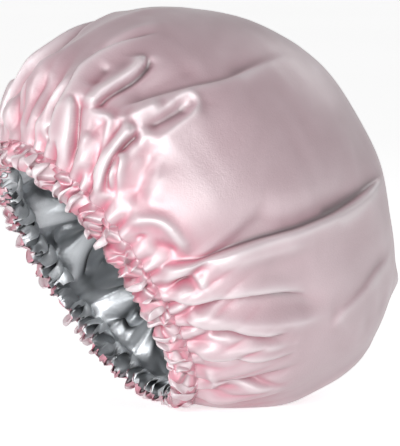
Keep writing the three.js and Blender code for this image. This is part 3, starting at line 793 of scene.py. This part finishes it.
# Ridges of the lining that show through the mouth, as photo pixels: height into the bonnet and half
# width, with a negative height for a hollow
MOUTH_CRESTS = [
    ([(54, 268), (68, 262), (80, 252), (92, 238), (103, 226)], 13, 4),
    ([(70, 258), (79, 266), (80, 282)], 9, 3),
    ([(82, 291), (98, 280), (116, 282), (124, 292)], 13, 4.5),
    ([(94, 240), (96, 254), (98, 270)], 8, 4),
    ([(40, 212), (58, 215), (76, 212)], 8, 4),
    ([(86, 312), (98, 301), (116, 295), (138, 304)], 12, 4),
    ([(88, 320), (102, 326), (120, 325), (142, 332)], 11, 4),
    ([(100, 346), (122, 345), (146, 349)], 10, 4),
    ([(112, 364), (128, 368), (152, 366)], 9, 3.5),
    ([(110, 246), (117, 266), (122, 284)], 10, 4),
    ([(130, 302), (139, 318), (148, 334)], 9, 3.5),
    ([(60, 232), (64, 244), (62, 256)], -8, 5),
    ([(84, 250), (88, 266), (90, 280)], -9, 5),
    ([(104, 236), (107, 252), (110, 268)], -9, 5),
    ([(100, 312), (120, 311), (138, 318)], -8, 5),
    ([(104, 336), (122, 336), (142, 341)], -8, 4.5),
    ([(114, 356), (130, 357), (150, 358)], -7, 4),
]


# The lining's small crumples are the outer's swell made closer and higher, and it hangs a little lower
LINING_CLOSER, LINING_HIGHER = 2.1, 6.4
LINING_LOWER = 0.0035
LINING_CLEAR = 0.0075            # how far behind the outer it stays, inland
LINING_GROUND = 0.006            # and how far over the ground


def lining_crown():
    rows = disc_rows(CROWN_DISC_R, step=0.0056, columns=320, least=20, near_edge=0.6)
    obj, place, out, turn, height = crown_cloth(
        "lining_crown_satin", rows, depth=LAYER_STEP, frames=22, pressure=-0.5, bending=0.8, hold=0.32,
        shape=lining_shape)
    fade = smooth(height, 0.010, 0.022) * beside_slit(turn)
    folds = fold_field(place, -out, [], MOUTH_CRESTS, [], from_photo_on(obj, place))
    points = get_points(obj.data.vertices) + folds * fade[:, None]
    crumples = LINING_HIGHER * swell(place * LINING_CLOSER) - LINING_LOWER
    points += (crumples * fade)[:, None] * out
    lift = ((points - place) * out).sum(1)
    most = -LAYER_STEP - LINING_CLEAR * smooth(height, 0.012, 0.03)
    points += (np.minimum(lift, most) - lift)[:, None] * out
    set_points(obj.data.vertices, press(points, LAYER_STEP + LINING_GROUND))
    return obj


def net(name, rows):
    """Quads through closed rows of points of the same count."""
    rows = np.asarray(rows)
    count = rows.shape[1]
    faces = []
    for j in range(len(rows) - 1):
        for i in range(count):
            k = (i + 1) % count
            faces.append((j * count + i, j * count + k, (j + 1) * count + k, (j + 1) * count + i))
    mesh = bpy.data.meshes.new(name)
    mesh.from_pydata([tuple(p) for p in rows.reshape(-1, 3)], [], faces)
    return placed(name, mesh)


CASING_COLUMNS = 1152
# What the two plies share towards the folded edge
EDGE_REACH = -0.003              # how much further the edge hangs on the -Y and forehead side
EDGE_LIFT = 0.0042
EDGE_SWAY = 0.0036
EDGE_FRILL = 0.0016
EDGE_TURNS = math.radians(7)     # where the cloth is held beside the slit
# And what each has of its own between its edges: the least swing of a gather and what it gains on the
# arch, the puff over the elastic, and the tuck of the folded edge
OUTER_SWING, OUTER_SWING_GAIN, OUTER_ARCH, OUTER_TUCK = 0.0022, 0.0032, 0.0040, 0.0016
LINING_SWING, LINING_SWING_GAIN, LINING_ARCH, LINING_TUCK = 0.0014, 0.0046, 0.0030, 0.0014
LINING_DROP = 0.0006
SMALL_PLEATS = 0.0016
PINCH = 0.042                    # how far gathers close up sideways, in radians


def edge_reach(turn):
    return 0.5 - 0.5 * np.sin(turn + 0.35)


def gathered_strip(name, rows, hold, pressure):
    """A strip of the cut disc's outermost ring that crumples between its two held edges."""
    obj = net(name, rows)
    start = np.asarray(rows).reshape(-1, 3)
    steps = len(rows)
    turn = np.tile(np.linspace(0, FULL_TURN, CASING_COLUMNS, endpoint=False), steps)
    share = np.repeat(np.linspace(0, 1, steps), CASING_COLUMNS)
    flat = polar(turn, CROWN_DISC_R + CASING_WIDTH * share, np.zeros_like(turn))
    firm = np.where(share == 0, 1.0, hold) * np.where(beside_slit(turn, EDGE_TURNS) < 0.7, 2, 1)
    firm = np.minimum(firm, 1)
    set_points(obj.data.vertices,
               simulate(obj, start, flat, firm, frames=16, pressure=pressure, bending=0.05))
    subdivide(obj)
    return obj


def casing_waves(turn, t):
    """What the two plies share at a share t of the way from the stitched line to the folded edge."""
    arch = math.sin(math.pi * min(t * 1.04, 1)) ** 0.7
    twist = (1.9 * t * np.sin(17 * turn + meander(turn, 41, 9.0))
             + 1.2 * np.sin(4 * t + meander(turn, 43, 12.0)))
    twist += 0.8 * arch * np.sin(31 * turn + 5 * t + meander(turn, 47, 6.0))
    phase = gather_phase(turn) + twist
    free = smooth(t, 0, 0.14)
    edge = EDGE_LIFT * t ** 2 * gather_size(turn, 14) * pleat(phase + 0.8)
    sway = EDGE_SWAY * t ** 1.5 * pleat(phase + 2.2) * gather_size(turn, 14)
    sway += EDGE_FRILL * t ** 2 * puff(67 * turn + meander(turn, 48, 9.0))
    sway += EDGE_REACH * t ** 3 * edge_reach(turn)
    return arch, phase, free, edge * beside_slit(turn), sway


def outer_casing():
    """Puffed gathers from the stitched line over the channel to the looping folded edge."""
    turn = np.linspace(0, FULL_TURN, CASING_COLUMNS, endpoint=False)
    size = gather_size(turn)
    quiet = beside_slit(turn)
    seam = crown_gathers(turn, np.zeros_like(turn)) * quiet
    rows = []
    for t in np.linspace(0, 1, 15):
        arch, phase, free, edge, sway = casing_waves(turn, t)
        way = CASING_WIDTH * (1 - t) - OUTER_TUCK * smooth(t, 0.8, 1)
        swing = (OUTER_SWING + OUTER_SWING_GAIN * arch) * size * pleat(phase) * quiet
        pinch = PINCH * size * (0.35 + 0.65 * arch) * np.sin(2 * phase) * quiet * free
        small = pleat(109 * turn + 9 * t + meander(turn, 45, 14.0))
        small = SMALL_PLEATS * small * (0.3 + arch) * quiet
        lift = seam * (1 - free) + (swing + small) * free + OUTER_ARCH * arch + edge
        rows.append(press(DOME.place(turn - pinch, way + sway, lift)))
    obj = gathered_strip("outer_casing_satin", rows, hold=0.3, pressure=0.5)
    set_points(obj.data.vertices, press(get_points(obj.data.vertices)))
    return obj


def lining_casing():
    """The ply that faces the head, closer under its gathers."""
    turn = np.linspace(0, FULL_TURN, CASING_COLUMNS, endpoint=False)
    size = gather_size(turn, 15)
    quiet = beside_slit(turn)
    rows = []
    for t in np.linspace(0, 1, 13):
        arch, phase, _, edge, sway = casing_waves(turn, t)
        way = CASING_WIDTH * (1 - t) - LINING_TUCK * smooth(t, 0.8, 1)
        drop = LAYER_STEP * (1 - t) + LINING_ARCH * arch + LINING_DROP
        swing = (LINING_SWING + LINING_SWING_GAIN * arch) * size * (0.5 - 0.5 * pleat(phase)) * quiet
        pinch = PINCH * size * (0.35 + 0.65 * arch) * np.sin(2 * phase) * quiet
        rows.append(press(DOME.place(turn + pinch, way + sway, edge - drop - swing), LAYER_STEP))
    obj = gathered_strip("lining_casing_satin", rows, hold=0.3, pressure=-0.3)
    set_points(obj.data.vertices, press(get_points(obj.data.vertices), LAYER_STEP / 2))
    return obj


def linear(code):
    """sRGB hex to the linear numbers that Blender keeps."""
    parts = [int(code[i:i + 2], 16) / 255 for i in (0, 2, 4)]
    return tuple(c / 12.92 if c <= 0.04045 else ((c + 0.055) / 1.055) ** 2.4 for c in parts) + (1,)


def plug(tree, node, inputs):
    """Gives each input a value or the output of another node."""
    for name, value in inputs.items():
        if isinstance(value, bpy.types.NodeSocket):
            tree.links.new(value, node.inputs[name])
        else:
            node.inputs[name].default_value = value


def add(tree, kind, inputs=None, stops=(), **settings):
    """Adds a node with its settings and links, and the stops of a colour ramp."""
    node = tree.nodes.new(kind)
    for name, value in settings.items():
        setattr(node, name, value)
    for i, (place, code) in enumerate(stops):
        stop = node.color_ramp.elements[i] if i < 2 else node.color_ramp.elements.new(place)
        stop.position = place
        stop.color = linear(code)
    plug(tree, node, inputs or {})
    return node


def new_material(name):
    """Returns a material, its tree, its shader, and the coordinates that its patterns follow."""
    material = bpy.data.materials.new(name)
    material.use_nodes = True
    tree = material.node_tree
    place = add(tree, "ShaderNodeTexCoord").outputs["Object"]
    return material, tree, tree.nodes["Principled BSDF"], place


# The satin's patterns, as cells to a metre: patches of 33 mm that shift the painted relief shade lighter
# or darker, glossier and duller ones of 11 mm, and dents of 5 mm
MOTTLE_CELLS, GLOSS_CELLS, CRUMPLE_CELLS = 30, 90, 200
MOTTLE = 0.16
# Its floats are about 0.1 mm across, drawn as 1.2 mm by 2.7 mm so that the grain shows in the render
WEAVE_CELLS = 820
WEAVE_STRETCH = (1, 0.45, 1)
RELIEF_LEVELS = (0.15, 0.34, 0.53, 0.65, 0.9)
# A mix node's two colours and its mixed colour, by number, since its names are used more than once
MIX_A, MIX_B, MIXED = 6, 7, 2


def satin(name, gathered, open_cloth, metallic, roughness, ior):
    """Woven satin: long floats catch the light. Its colour is painted by the relief: painted shade and
    painted bounced colour in the creases, where close folds would throw their own colour on each other,
    and painted highlights on the ridges, with the cloth's own colour between.
    Both lists of colours go from the creases, painted shade, to the ridges, painted highlight; the first
    is used near the gathers and the second inland. Polyester's IOR of 1.6 and the weave's roughness of
    about 0.35 are the start, and the values are matched to the gloss from there."""
    material, tree, shader, place = new_material(name)
    relief, inland = (add(tree, "ShaderNodeAttribute", attribute_name=mark).outputs["Fac"]
                      for mark in ("relief", "inland"))
    mottle, gloss, crumple = (
        add(tree, "ShaderNodeTexNoise",
            {"Vector": place, "Scale": cells, "Detail": 4, "Roughness": 0.6}).outputs["Fac"]
        for cells in (MOTTLE_CELLS, GLOSS_CELLS, CRUMPLE_CELLS))
    # random patches shift the painted relief shade lighter or darker
    mottled = add(tree, "ShaderNodeMath", {0: mottle, 1: MOTTLE, 2: relief}, operation="MULTIPLY_ADD")
    # painted shade and painted highlight: ramps from the creases' painted shade to the ridges' painted
    # highlight, one near the gathers and one inland
    painted_near_gathers, painted_inland = (
        add(tree, "ShaderNodeValToRGB", {"Fac": mottled.outputs[0]}, zip(RELIEF_LEVELS, colours))
        for colours in (gathered, open_cloth))
    colour = add(tree, "ShaderNodeMix", {
        "Factor": inland, MIX_A: painted_near_gathers.outputs["Color"], MIX_B: painted_inland.outputs["Color"],
    }, data_type="RGBA")
    handled = add(tree, "ShaderNodeMapRange",
                  {"Value": gloss, "To Min": roughness - 0.05, "To Max": roughness + 0.06})
    across = add(tree, "ShaderNodeMapping", {"Vector": place, "Scale": WEAVE_STRETCH})
    weave = add(tree, "ShaderNodeTexNoise", {
        "Vector": across.outputs["Vector"], "Scale": WEAVE_CELLS, "Detail": 3, "Roughness": 0.75,
    })
    dents = add(tree, "ShaderNodeBump", {"Height": crumple, "Strength": 0.16, "Distance": 0.0008})
    grain = add(tree, "ShaderNodeBump", {
        "Height": weave.outputs["Fac"], "Strength": 0.75, "Distance": 0.0002,
        "Normal": dents.outputs["Normal"],
    })
    plug(tree, shader, {
        "Base Color": colour.outputs[MIXED], "Roughness": handled.outputs["Result"],
        "Normal": grain.outputs["Normal"], "Metallic": metallic, "IOR": ior,
        "Anisotropic": 0.4, "Sheen Weight": 0.3, "Sheen Roughness": 0.4,
    })
    return material


def knitted_elastic():
    """Yarn knitted over rubber cords: matt black, with a dry sheen where the ribs stand up. Stitches of
    0.4 mm as they are, in tufts of 1.1 mm and patches of 2.5 mm that are rubbed more or less."""
    material, tree, shader, place = new_material("ribbed_elastic")
    knit, tufts, patches = (
        add(tree, "ShaderNodeTexNoise",
            {"Vector": place, "Scale": cells, "Detail": detail}).outputs["Fac"]
        for cells, detail in ((2400, 1), (900, 2), (400, 2)))
    black = add(tree, "ShaderNodeValToRGB", {"Fac": tufts}, ((0.3, "1B1B1C"), (0.7, "2F2E30")))
    rubbed = add(tree, "ShaderNodeMapRange", {"Value": patches, "To Min": 0.62, "To Max": 0.85})
    relief = add(tree, "ShaderNodeBump", {"Height": knit, "Strength": 0.35, "Distance": 0.0003})
    plug(tree, shader, {
        "Base Color": black.outputs["Color"], "Roughness": rubbed.outputs["Result"],
        "Normal": relief.outputs["Normal"], "Sheen Weight": 0.3, "Sheen Roughness": 0.5,
    })
    return material


def sewing_thread(name, shade, light):
    """Spun polyester: half matt, with twists of 0.7 mm painted paler at random as a painted highlight,
    where they would face the light.
    """
    material, tree, shader, place = new_material(name)
    twist = add(tree, "ShaderNodeTexNoise", {"Vector": place, "Scale": 1500, "Detail": 1})
    colour = add(tree, "ShaderNodeValToRGB", {"Fac": twist.outputs["Fac"]}, ((0.3, shade), (0.8, light)))
    plug(tree, shader, {"Base Color": colour.outputs["Color"], "Roughness": 0.55})
    return material


# Painted colours, from painted shade in the creases through the cloth's own colour to painted highlight
# on the ridges: deep pink creases near the outer's gathers and darker, greyer creases inland; the
# silver-grey lining gets near-black creases and near-white ridges
OUTER_SATIN = satin(
    "outer_satin_cloth", gathered=("7E3A4C", "CC6681", "C68A99", "C29CA6", "D8C6CB"),
    open_cloth=("5C444A", "8A6972", "B08E97", "C0A3AB", "D6C5CA"),
    metallic=0.0, roughness=0.40, ior=2.9)
LINING_SATIN = satin(
    "lining_satin_cloth", gathered=("2E3032", "55585B", "A0A4A8", "C4C8CC", "ECF0F3"),
    open_cloth=("26282A", "4A4D50", "A0A4A8", "C8CCD0", "F2F5F8"),
    metallic=0.6, roughness=0.31, ior=2.1)
ELASTIC = knitted_elastic()
PINK_THREAD = sewing_thread("pink_thread", "E2AFBD", "F2DCE2")

# heights over the opening where the satin's painted shading turns from its colours near the gathers to
# its inland colours
INLAND_FROM, INLAND_TO = 0.02, 0.075


def mark_relief(obj, reach, size):
    """Gives each point a relief from 0 in the hollows to 1 on the ridges, and how far it is inland, by
    which the satin paints shade in the hollows and highlights on the ridges:
    reach is the rounds of smoothing that it stands out from, and size the height of half a relief."""
    mesh = obj.data
    points = get_points(mesh.vertices)
    ends = np.zeros(len(mesh.edges) * 2, np.int32)
    mesh.edges.foreach_get("vertices", ends)
    a, b = ends[0::2], ends[1::2]
    count = np.bincount(a, minlength=len(points)) + np.bincount(b, minlength=len(points))
    flat = points.copy()
    for _ in range(reach):
        total = np.zeros_like(flat)
        np.add.at(total, a, flat[b])
        np.add.at(total, b, flat[a])
        flat = 0.5 * flat + 0.5 * total / count[:, None]
    relief = 0.5 + 0.5 * np.tanh(((points - flat) * get_normals(mesh)).sum(1) / size)
    inland = smooth(DOME.to_opening(points)[:, 2], INLAND_FROM, INLAND_TO)
    for name, values in (("relief", relief), ("inland", inland)):
        layer = mesh.attributes.new(name, "FLOAT", "POINT")
        layer.data.foreach_set("value", values.astype(np.float32))


def dress(obj, material, slot, body, *nodes):
    """Gives a finished piece its material, hides the nodes that it replaces and gives it its body; slot
    is not used.
    """
    obj.data.materials.clear()
    obj.data.materials.append(material)
    obj.data.polygons.foreach_set("use_smooth", [True] * len(obj.data.polygons))
    if nodes:
        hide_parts(*nodes)
    if body:
        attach(obj, body)
    return obj


def loop_axes():
    """The slit and the three axes of the drawn loop, as in the CAD model."""
    slope = OUTER_PUFF / (CASING_WIDTH - OUTER_CREST_AT)
    angle = LEAVE_ANGLE - LOOP_LEAN
    flank = slope * (CASING_WIDTH - TAPE_AT)
    reach = (flank + TAPE_DROP) / (math.sin(angle) + slope * math.cos(angle))
    at = DOME.place(LOOP_TURN, TAPE_AT + reach * math.cos(angle), -TAPE_DROP + reach * math.sin(angle))
    radial = np.array([math.cos(LOOP_TURN), math.sin(LOOP_TURN), 0])
    draw = (radial * math.cos(LOOP_LEAN) + np.array([0, 0, math.sin(LOOP_LEAN)])) @ DOME.axes
    across = np.array([-math.sin(LOOP_TURN), math.cos(LOOP_TURN), 0]) @ DOME.axes
    return at, draw, across, np.cross(draw, across), reach


SLIT, DRAW, ACROSS, STACK, SLIT_REACH = loop_axes()
END_OFFSET = (PLY_GAP + TAPE_THICKNESS) / 2


def at_slit(x, y, z):
    return (SLIT + np.multiply.outer(x, DRAW) + np.multiply.outer(y, ACROSS)
            + np.multiply.outer(z, STACK))


def ribbon_outline(width, thickness, ribs=7, per_rib=6):
    """Cross-section of ribbed elastic: rounded cords side by side, across by stack."""
    count = ribs * per_rib
    t = np.linspace(0, 1, count + 1)
    bulge = np.abs(np.sin(math.pi * ribs * t)) ** 0.6
    thinner_end = np.minimum(1, 3.2 * np.sqrt(np.minimum(t, 1 - t) + 0.006))
    half = thickness / 2 * (0.66 + 0.34 * bulge) * thinner_end
    across = (t - 0.5) * width
    top = np.stack([across, half], -1)
    bottom = np.stack([across[::-1], -half[::-1]], -1)
    return np.concatenate([top, bottom])


def face_outwards(mesh, weld=0.0):
    """Turns the faces of closed shells outwards, after points closer than the weld are made one."""
    fix = bmesh.new()
    fix.from_mesh(mesh)
    if weld:
        bmesh.ops.remove_doubles(fix, verts=fix.verts, dist=weld)
    bmesh.ops.recalc_face_normals(fix, faces=fix.faces)
    fix.to_mesh(mesh)
    fix.free()


def sweep(name, centres, wide, high, outline, closed):
    """Carries an outline along a line of centres with given width and height directions."""
    sections = [c + np.outer(outline[:, 0], w) + np.outer(outline[:, 1], h)
                for c, w, h in zip(centres, wide, high)]
    count, size = len(sections), len(outline)
    faces = []
    for j in range(count if closed else count - 1):
        k = (j + 1) % count
        faces += [(j * size + i, j * size + (i + 1) % size, k * size + (i + 1) % size, k * size + i)
                  for i in range(size)]
    if not closed:
        faces += [tuple(range(size))[::-1], tuple(range((count - 1) * size, count * size))]
    mesh = bpy.data.meshes.new(name)
    mesh.from_pydata([tuple(p) for p in np.concatenate(sections)], [], faces)
    face_outwards(mesh)
    return placed(name, mesh)


def join(name, objects):
    build = bmesh.new()
    for o in objects:
        build.from_mesh(o.data)
    mesh = bpy.data.meshes.new(name)
    build.to_mesh(mesh)
    build.free()
    for o in objects:
        bpy.data.objects.remove(o)
    return placed(name, mesh)


TAIL_TUCK = 0.0003               # how far the ends reach into the band


def elastic_band():
    """The band in the channel and its two ends through the slit."""
    outline = ribbon_outline(TAPE_WIDTH, TAPE_THICKNESS)
    turn = np.linspace(0, FULL_TURN, 360, endpoint=False)
    middle = DOME.place(turn, TAPE_AT, -TAPE_DROP)
    wide = unit(DOME.place(turn, TAPE_AT + 0.001, -TAPE_DROP) - middle)
    high = unit(DOME.place(turn, TAPE_AT, -TAPE_DROP + 0.001) - middle)
    pieces = [sweep("ring", middle, wide, high, outline, True)]
    for side in (-1, 1):
        x = np.linspace(-SLIT_REACH - TAIL_TUCK, TAIL_END, 26)
        centres = at_slit(x, np.zeros_like(x), np.full_like(x, side * END_OFFSET))
        pieces.append(sweep("tail", centres, [ACROSS] * len(x), [STACK] * len(x), outline, False))
    band = dress(join("elastic_band", pieces), ELASTIC, "black_elastic", None, "casing_elastic")
    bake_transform(band)


def drawn_loop():
    """The rest of the elastic: two ends side by side that open into a round loop."""
    start = TAIL_END + LOOP_GAP
    neck = start + LOOP_NECK
    centre = neck + LOOP_FLARE
    straight = np.stack([np.linspace(start, neck, 8)[:-1], np.full(7, END_OFFSET)], -1)
    corners = np.array([[neck, END_OFFSET], [neck + LOOP_FLARE / 2, END_OFFSET],
                        [centre - LOOP_FLARE / 2, LOOP_RADIUS], [centre, LOOP_RADIUS]])
    flare = bezier(corners, np.linspace(0, 1, 16)[:-1, None])
    arc = np.linspace(math.pi / 2, 0, 24)
    bend = np.stack([centre + LOOP_RADIUS * np.cos(arc), LOOP_RADIUS * np.sin(arc)], -1)
    upper = np.concatenate([straight, flare, bend])
    line = np.concatenate([upper, upper[-2::-1] * [1, -1]])
    along = unit(np.gradient(line, axis=0))
    out = np.stack([-along[:, 1], along[:, 0]], -1)
    centres = at_slit(line[:, 0], np.zeros(len(line)), line[:, 1])
    high = np.outer(out[:, 0], DRAW) + np.outer(out[:, 1], STACK)
    loop = sweep("drawn_loop", centres, [ACROSS] * len(line), high,
                 ribbon_outline(TAPE_WIDTH, TAPE_THICKNESS), False)
    dress(loop, ELASTIC, "black_elastic", "loop", "pull_loop")


KEEPER_WALL, KEEPER_ROOM = 0.00075, 0.0003
KEEPER_COLUMNS, KEEPER_RIBS, RIB_SHARE = 96, 22, 0.02
# Its rounded outside: how far along, and how much over or under the full size
KEEPER_PROFILE = [(0.0, -0.00025), (0.00018, -0.00004), (0.0006, 0), (0.0025, 0.0), (0.0044, 0),
                  (0.00482, -0.00004), (0.005, -0.00025)]


def keeper_sleeve():
    """Soft ribbed sleeve that grips both ends of the elastic."""
    inner_w = TAPE_WIDTH / 2 + KEEPER_ROOM
    inner_h = TAPE_THICKNESS + PLY_GAP / 2 + KEEPER_ROOM
    a = np.linspace(0, FULL_TURN, KEEPER_COLUMNS, endpoint=False)
    c, s = np.cos(a), np.sin(a)

    def ring(x, more, power, ribs):
        grow = 1 + ribs * np.cos(KEEPER_RIBS * a)
        y = np.sign(c) * np.abs(c) ** power * (inner_w + more) * grow
        z = np.sign(s) * np.abs(s) ** power * (inner_h + more) * grow
        return at_slit(np.full(KEEPER_COLUMNS, KEEPER_STAND + x), y, z)

    rows = [ring(x, KEEPER_WALL + more, 0.42, RIB_SHARE) for x, more in KEEPER_PROFILE]
    rows += [ring(x, 0, 0.25, 0) for x in (KEEPER_LENGTH, KEEPER_LENGTH / 2, 0.0)]
    rows.append(rows[0])
    keeper = net("keeper_sleeve", rows)
    face_outwards(keeper.data, weld=1e-6)
    dress(keeper, ELASTIC, "black_elastic", "keeper", "loop_keeper")


def stitches(name, points, length, radius):
    """Thread stitches along a closed line, placed by a node group and made a plain mesh."""
    line = bpy.data.meshes.new(name)
    line.from_pydata([tuple(p) for p in points], [], [])
    along = unit(np.roll(points, -1, axis=0) - points)
    facing = line.attributes.new("along", "FLOAT_VECTOR", "POINT")
    facing.data.foreach_set("vector", along.astype(np.float32).ravel())
    obj = placed(name, line)

    tree = bpy.data.node_groups.new(name, "GeometryNodeTree")
    for way in ("INPUT", "OUTPUT"):
        tree.interface.new_socket("Geometry", in_out=way, socket_type="NodeSocketGeometry")
    sizes = {"Half length": length / 2, "Thread radius": radius}
    sockets = {label: tree.interface.new_socket(label, in_out="INPUT", socket_type="NodeSocketFloat")
               for label in sizes}
    given = add(tree, "NodeGroupInput").outputs
    bead = add(tree, "GeometryNodeMeshUVSphere", {"Segments": 6, "Rings": 6, "Radius": 1})
    scale = add(tree, "ShaderNodeCombineXYZ", {
        "X": given["Thread radius"], "Y": given["Thread radius"], "Z": given["Half length"],
    })
    stitch = add(tree, "GeometryNodeTransform",
                 {"Geometry": bead.outputs["Mesh"], "Scale": scale.outputs["Vector"]})
    facing = add(tree, "GeometryNodeInputNamedAttribute", {"Name": "along"}, data_type="FLOAT_VECTOR")
    turn = add(tree, "FunctionNodeAlignRotationToVector",
               {"Vector": facing.outputs["Attribute"]}, axis="Z")
    row = add(tree, "GeometryNodeInstanceOnPoints", {
        "Points": given["Geometry"], "Instance": stitch.outputs["Geometry"],
        "Rotation": turn.outputs["Rotation"],
    })
    real = add(tree, "GeometryNodeRealizeInstances", {"Geometry": row.outputs["Instances"]})
    thread = add(tree, "GeometryNodeSetMaterial",
                 {"Geometry": real.outputs["Geometry"], "Material": PINK_THREAD})
    add(tree, "NodeGroupOutput", {0: thread.outputs["Geometry"]})

    modifier = obj.modifiers.new("stitches", "NODES")
    modifier.node_group = tree
    for label, size in sizes.items():
        modifier[sockets[label].identifier] = size
    plain = bpy.data.meshes.new_from_object(obj.evaluated_get(bpy.context.evaluated_depsgraph_get()))
    obj.modifiers.clear()
    obj.data = plain
    plain.name = name
    dress(obj, PINK_THREAD, "outer_satin", "bonnet")


CHANNEL_STITCHES, BUTTONHOLE_STITCHES = 440, 44
THREAD_STAND = 0.0004            # how far the thread stands over the cloth


def stitched_lines():
    turn = np.linspace(0, FULL_TURN, CHANNEL_STITCHES, endpoint=False)
    gather = crown_gathers(turn, np.zeros_like(turn)) * beside_slit(turn)
    seam = press(DOME.place(turn, CASING_WIDTH, gather + THREAD_STAND), 0.0003)
    stitches("channel_stitches", seam, length=0.0019, radius=0.00022)
    slit_w, slit_h = TAPE_WIDTH / 2 + 0.0009, TAPE_THICKNESS + 0.0011
    a = np.linspace(0, FULL_TURN, BUTTONHOLE_STITCHES, endpoint=False)
    rim = at_slit(np.full(len(a), THREAD_STAND), slit_w * np.cos(a), slit_h * np.sin(a))
    stitches("buttonhole_stitches", rim, length=0.0011, radius=0.00028)


def seen_only(tree, strength):
    """A strength that the camera sees, straight or in a gloss, and that lights nothing."""
    path = add(tree, "ShaderNodeLightPath").outputs
    seen = path["Is Camera Ray"]
    for ray in ("Is Glossy Ray", "Is Transmission Ray"):
        seen = add(tree, "ShaderNodeMath", {0: seen, 1: path[ray]}, operation="MAXIMUM").outputs[0]
    return add(tree, "ShaderNodeMath", {0: seen, 1: strength}, operation="MULTIPLY").outputs[0]


WHITE = (1, 1, 1, 1)
FLOOR_HALF = 30.0
FLOOR_UNDER = 0.0004             # just under the cloth, so that the two don't share a plane
FLOOR_GLOW = 0.62                # what the camera sees over the lit floor, up to white
SKY_LOW, SKY_HIGH = 0.7, 0.26    # the world's strength near the ground and overhead
SKY_HIGH_AT = 0.8
# Soft lamps, by turn and rise in degrees as the camera's, distance, width and power
LAMPS = {
    "key": (-22, 11, 1.5, 1.0, 7.4),
    "side": (-85, 28, 1.3, 0.25, 2.4),
    "rim": (112, 34, 1.4, 0.6, 2),
    "low": (-54, -2, 1.4, 0.6, 11),
    "front": (-8, -14, 1.4, 0.6, 3),
}
LAMPS_AIM_AT = Vector((-0.03, 0, 0.12))
SENSOR_WIDTH = 36


def pale_floor():
    mesh = bpy.data.meshes.new("floor")
    half = FLOOR_HALF
    mesh.from_pydata([(-half, -half, 0), (half, -half, 0), (half, half, 0), (-half, half, 0)], [],
                     [(0, 1, 2, 3)])
    material, tree, shader, place = new_material("pale_floor")
    clouds = add(tree, "ShaderNodeTexNoise", {"Vector": place, "Scale": 1.5, "Detail": 1})
    paint = add(tree, "ShaderNodeValToRGB", {"Fac": clouds.outputs["Fac"]},
                ((0.3, "F4F4F4"), (0.7, "F7F7F7")))
    plug(tree, shader, {
        "Base Color": paint.outputs["Color"], "Roughness": 0.9, "Specular IOR Level": 0.1,
        "Emission Color": WHITE, "Emission Strength": seen_only(tree, FLOOR_GLOW),
    })
    mesh.materials.append(material)
    floor = placed("floor", mesh)
    floor.location.z = -FLOOR_UNDER


def studio():
    pale_floor()
    world = bpy.data.worlds.new("studio")
    world.use_nodes = True
    tree = world.node_tree
    place = add(tree, "ShaderNodeTexCoord").outputs["Generated"]
    sky = add(tree, "ShaderNodeSeparateXYZ", {"Vector": place})
    level = add(tree, "ShaderNodeMapRange", {
        "Value": sky.outputs["Z"], "From Min": 0.0, "From Max": SKY_HIGH_AT,
        "To Min": SKY_LOW, "To Max": SKY_HIGH,
    })
    plug(tree, tree.nodes["Background"], {"Color": WHITE, "Strength": level.outputs["Result"]})
    bpy.context.scene.world = world

    for name, (turn, rise, away, size, power) in LAMPS.items():
        lamp = bpy.data.lights.new(name, "AREA")
        lamp.shape = "RECTANGLE"
        lamp.size = lamp.size_y = size
        lamp.energy = power
        obj = placed(name, lamp)
        a, e = math.radians(turn), math.radians(rise)
        back = Vector((math.sin(a) * math.cos(e), -math.cos(a) * math.cos(e), math.sin(e)))
        obj.location = LAMPS_AIM_AT + back * away
        obj.rotation_euler = back.to_track_quat("Z", "Y").to_euler()

    lens = bpy.data.cameras.new("camera")
    lens.sensor_fit = "HORIZONTAL"
    lens.sensor_width = SENSOR_WIDTH
    lens.lens = SENSOR_WIDTH * CAMERA_AWAY / (PHOTO_W * PIXEL)
    lens.clip_end = 100
    camera = placed("camera", lens)
    axes = Matrix((VIEW_RIGHT, VIEW_UP, VIEW_BACK)).transposed()
    camera.matrix_world = Matrix.Translation(Vector(VIEW_PLACE)) @ axes.to_4x4()
    bpy.context.scene.camera = camera
    bpy.context.scene.view_settings.view_transform = "Standard"


crown = dress(outer_crown(), OUTER_SATIN, "outer_satin", "bonnet", "outer_crown")
casing = dress(outer_casing(), OUTER_SATIN, "outer_satin", "bonnet", "outer_casing")
inside = dress(lining_crown(), LINING_SATIN, "lining_satin", "bonnet", "lining_crown")
inner_casing = dress(lining_casing(), LINING_SATIN, "lining_satin", "bonnet", "lining_casing")
# relief marks by which the satin paints shade in the creases and highlights on the ridges
mark_relief(crown, reach=24, size=0.0016)
mark_relief(casing, reach=24, size=0.0010)
mark_relief(inside, reach=16, size=0.0020)
mark_relief(inner_casing, reach=24, size=0.0012)
elastic_band()
drawn_loop()
keeper_sleeve()
stitched_lines()

studio()
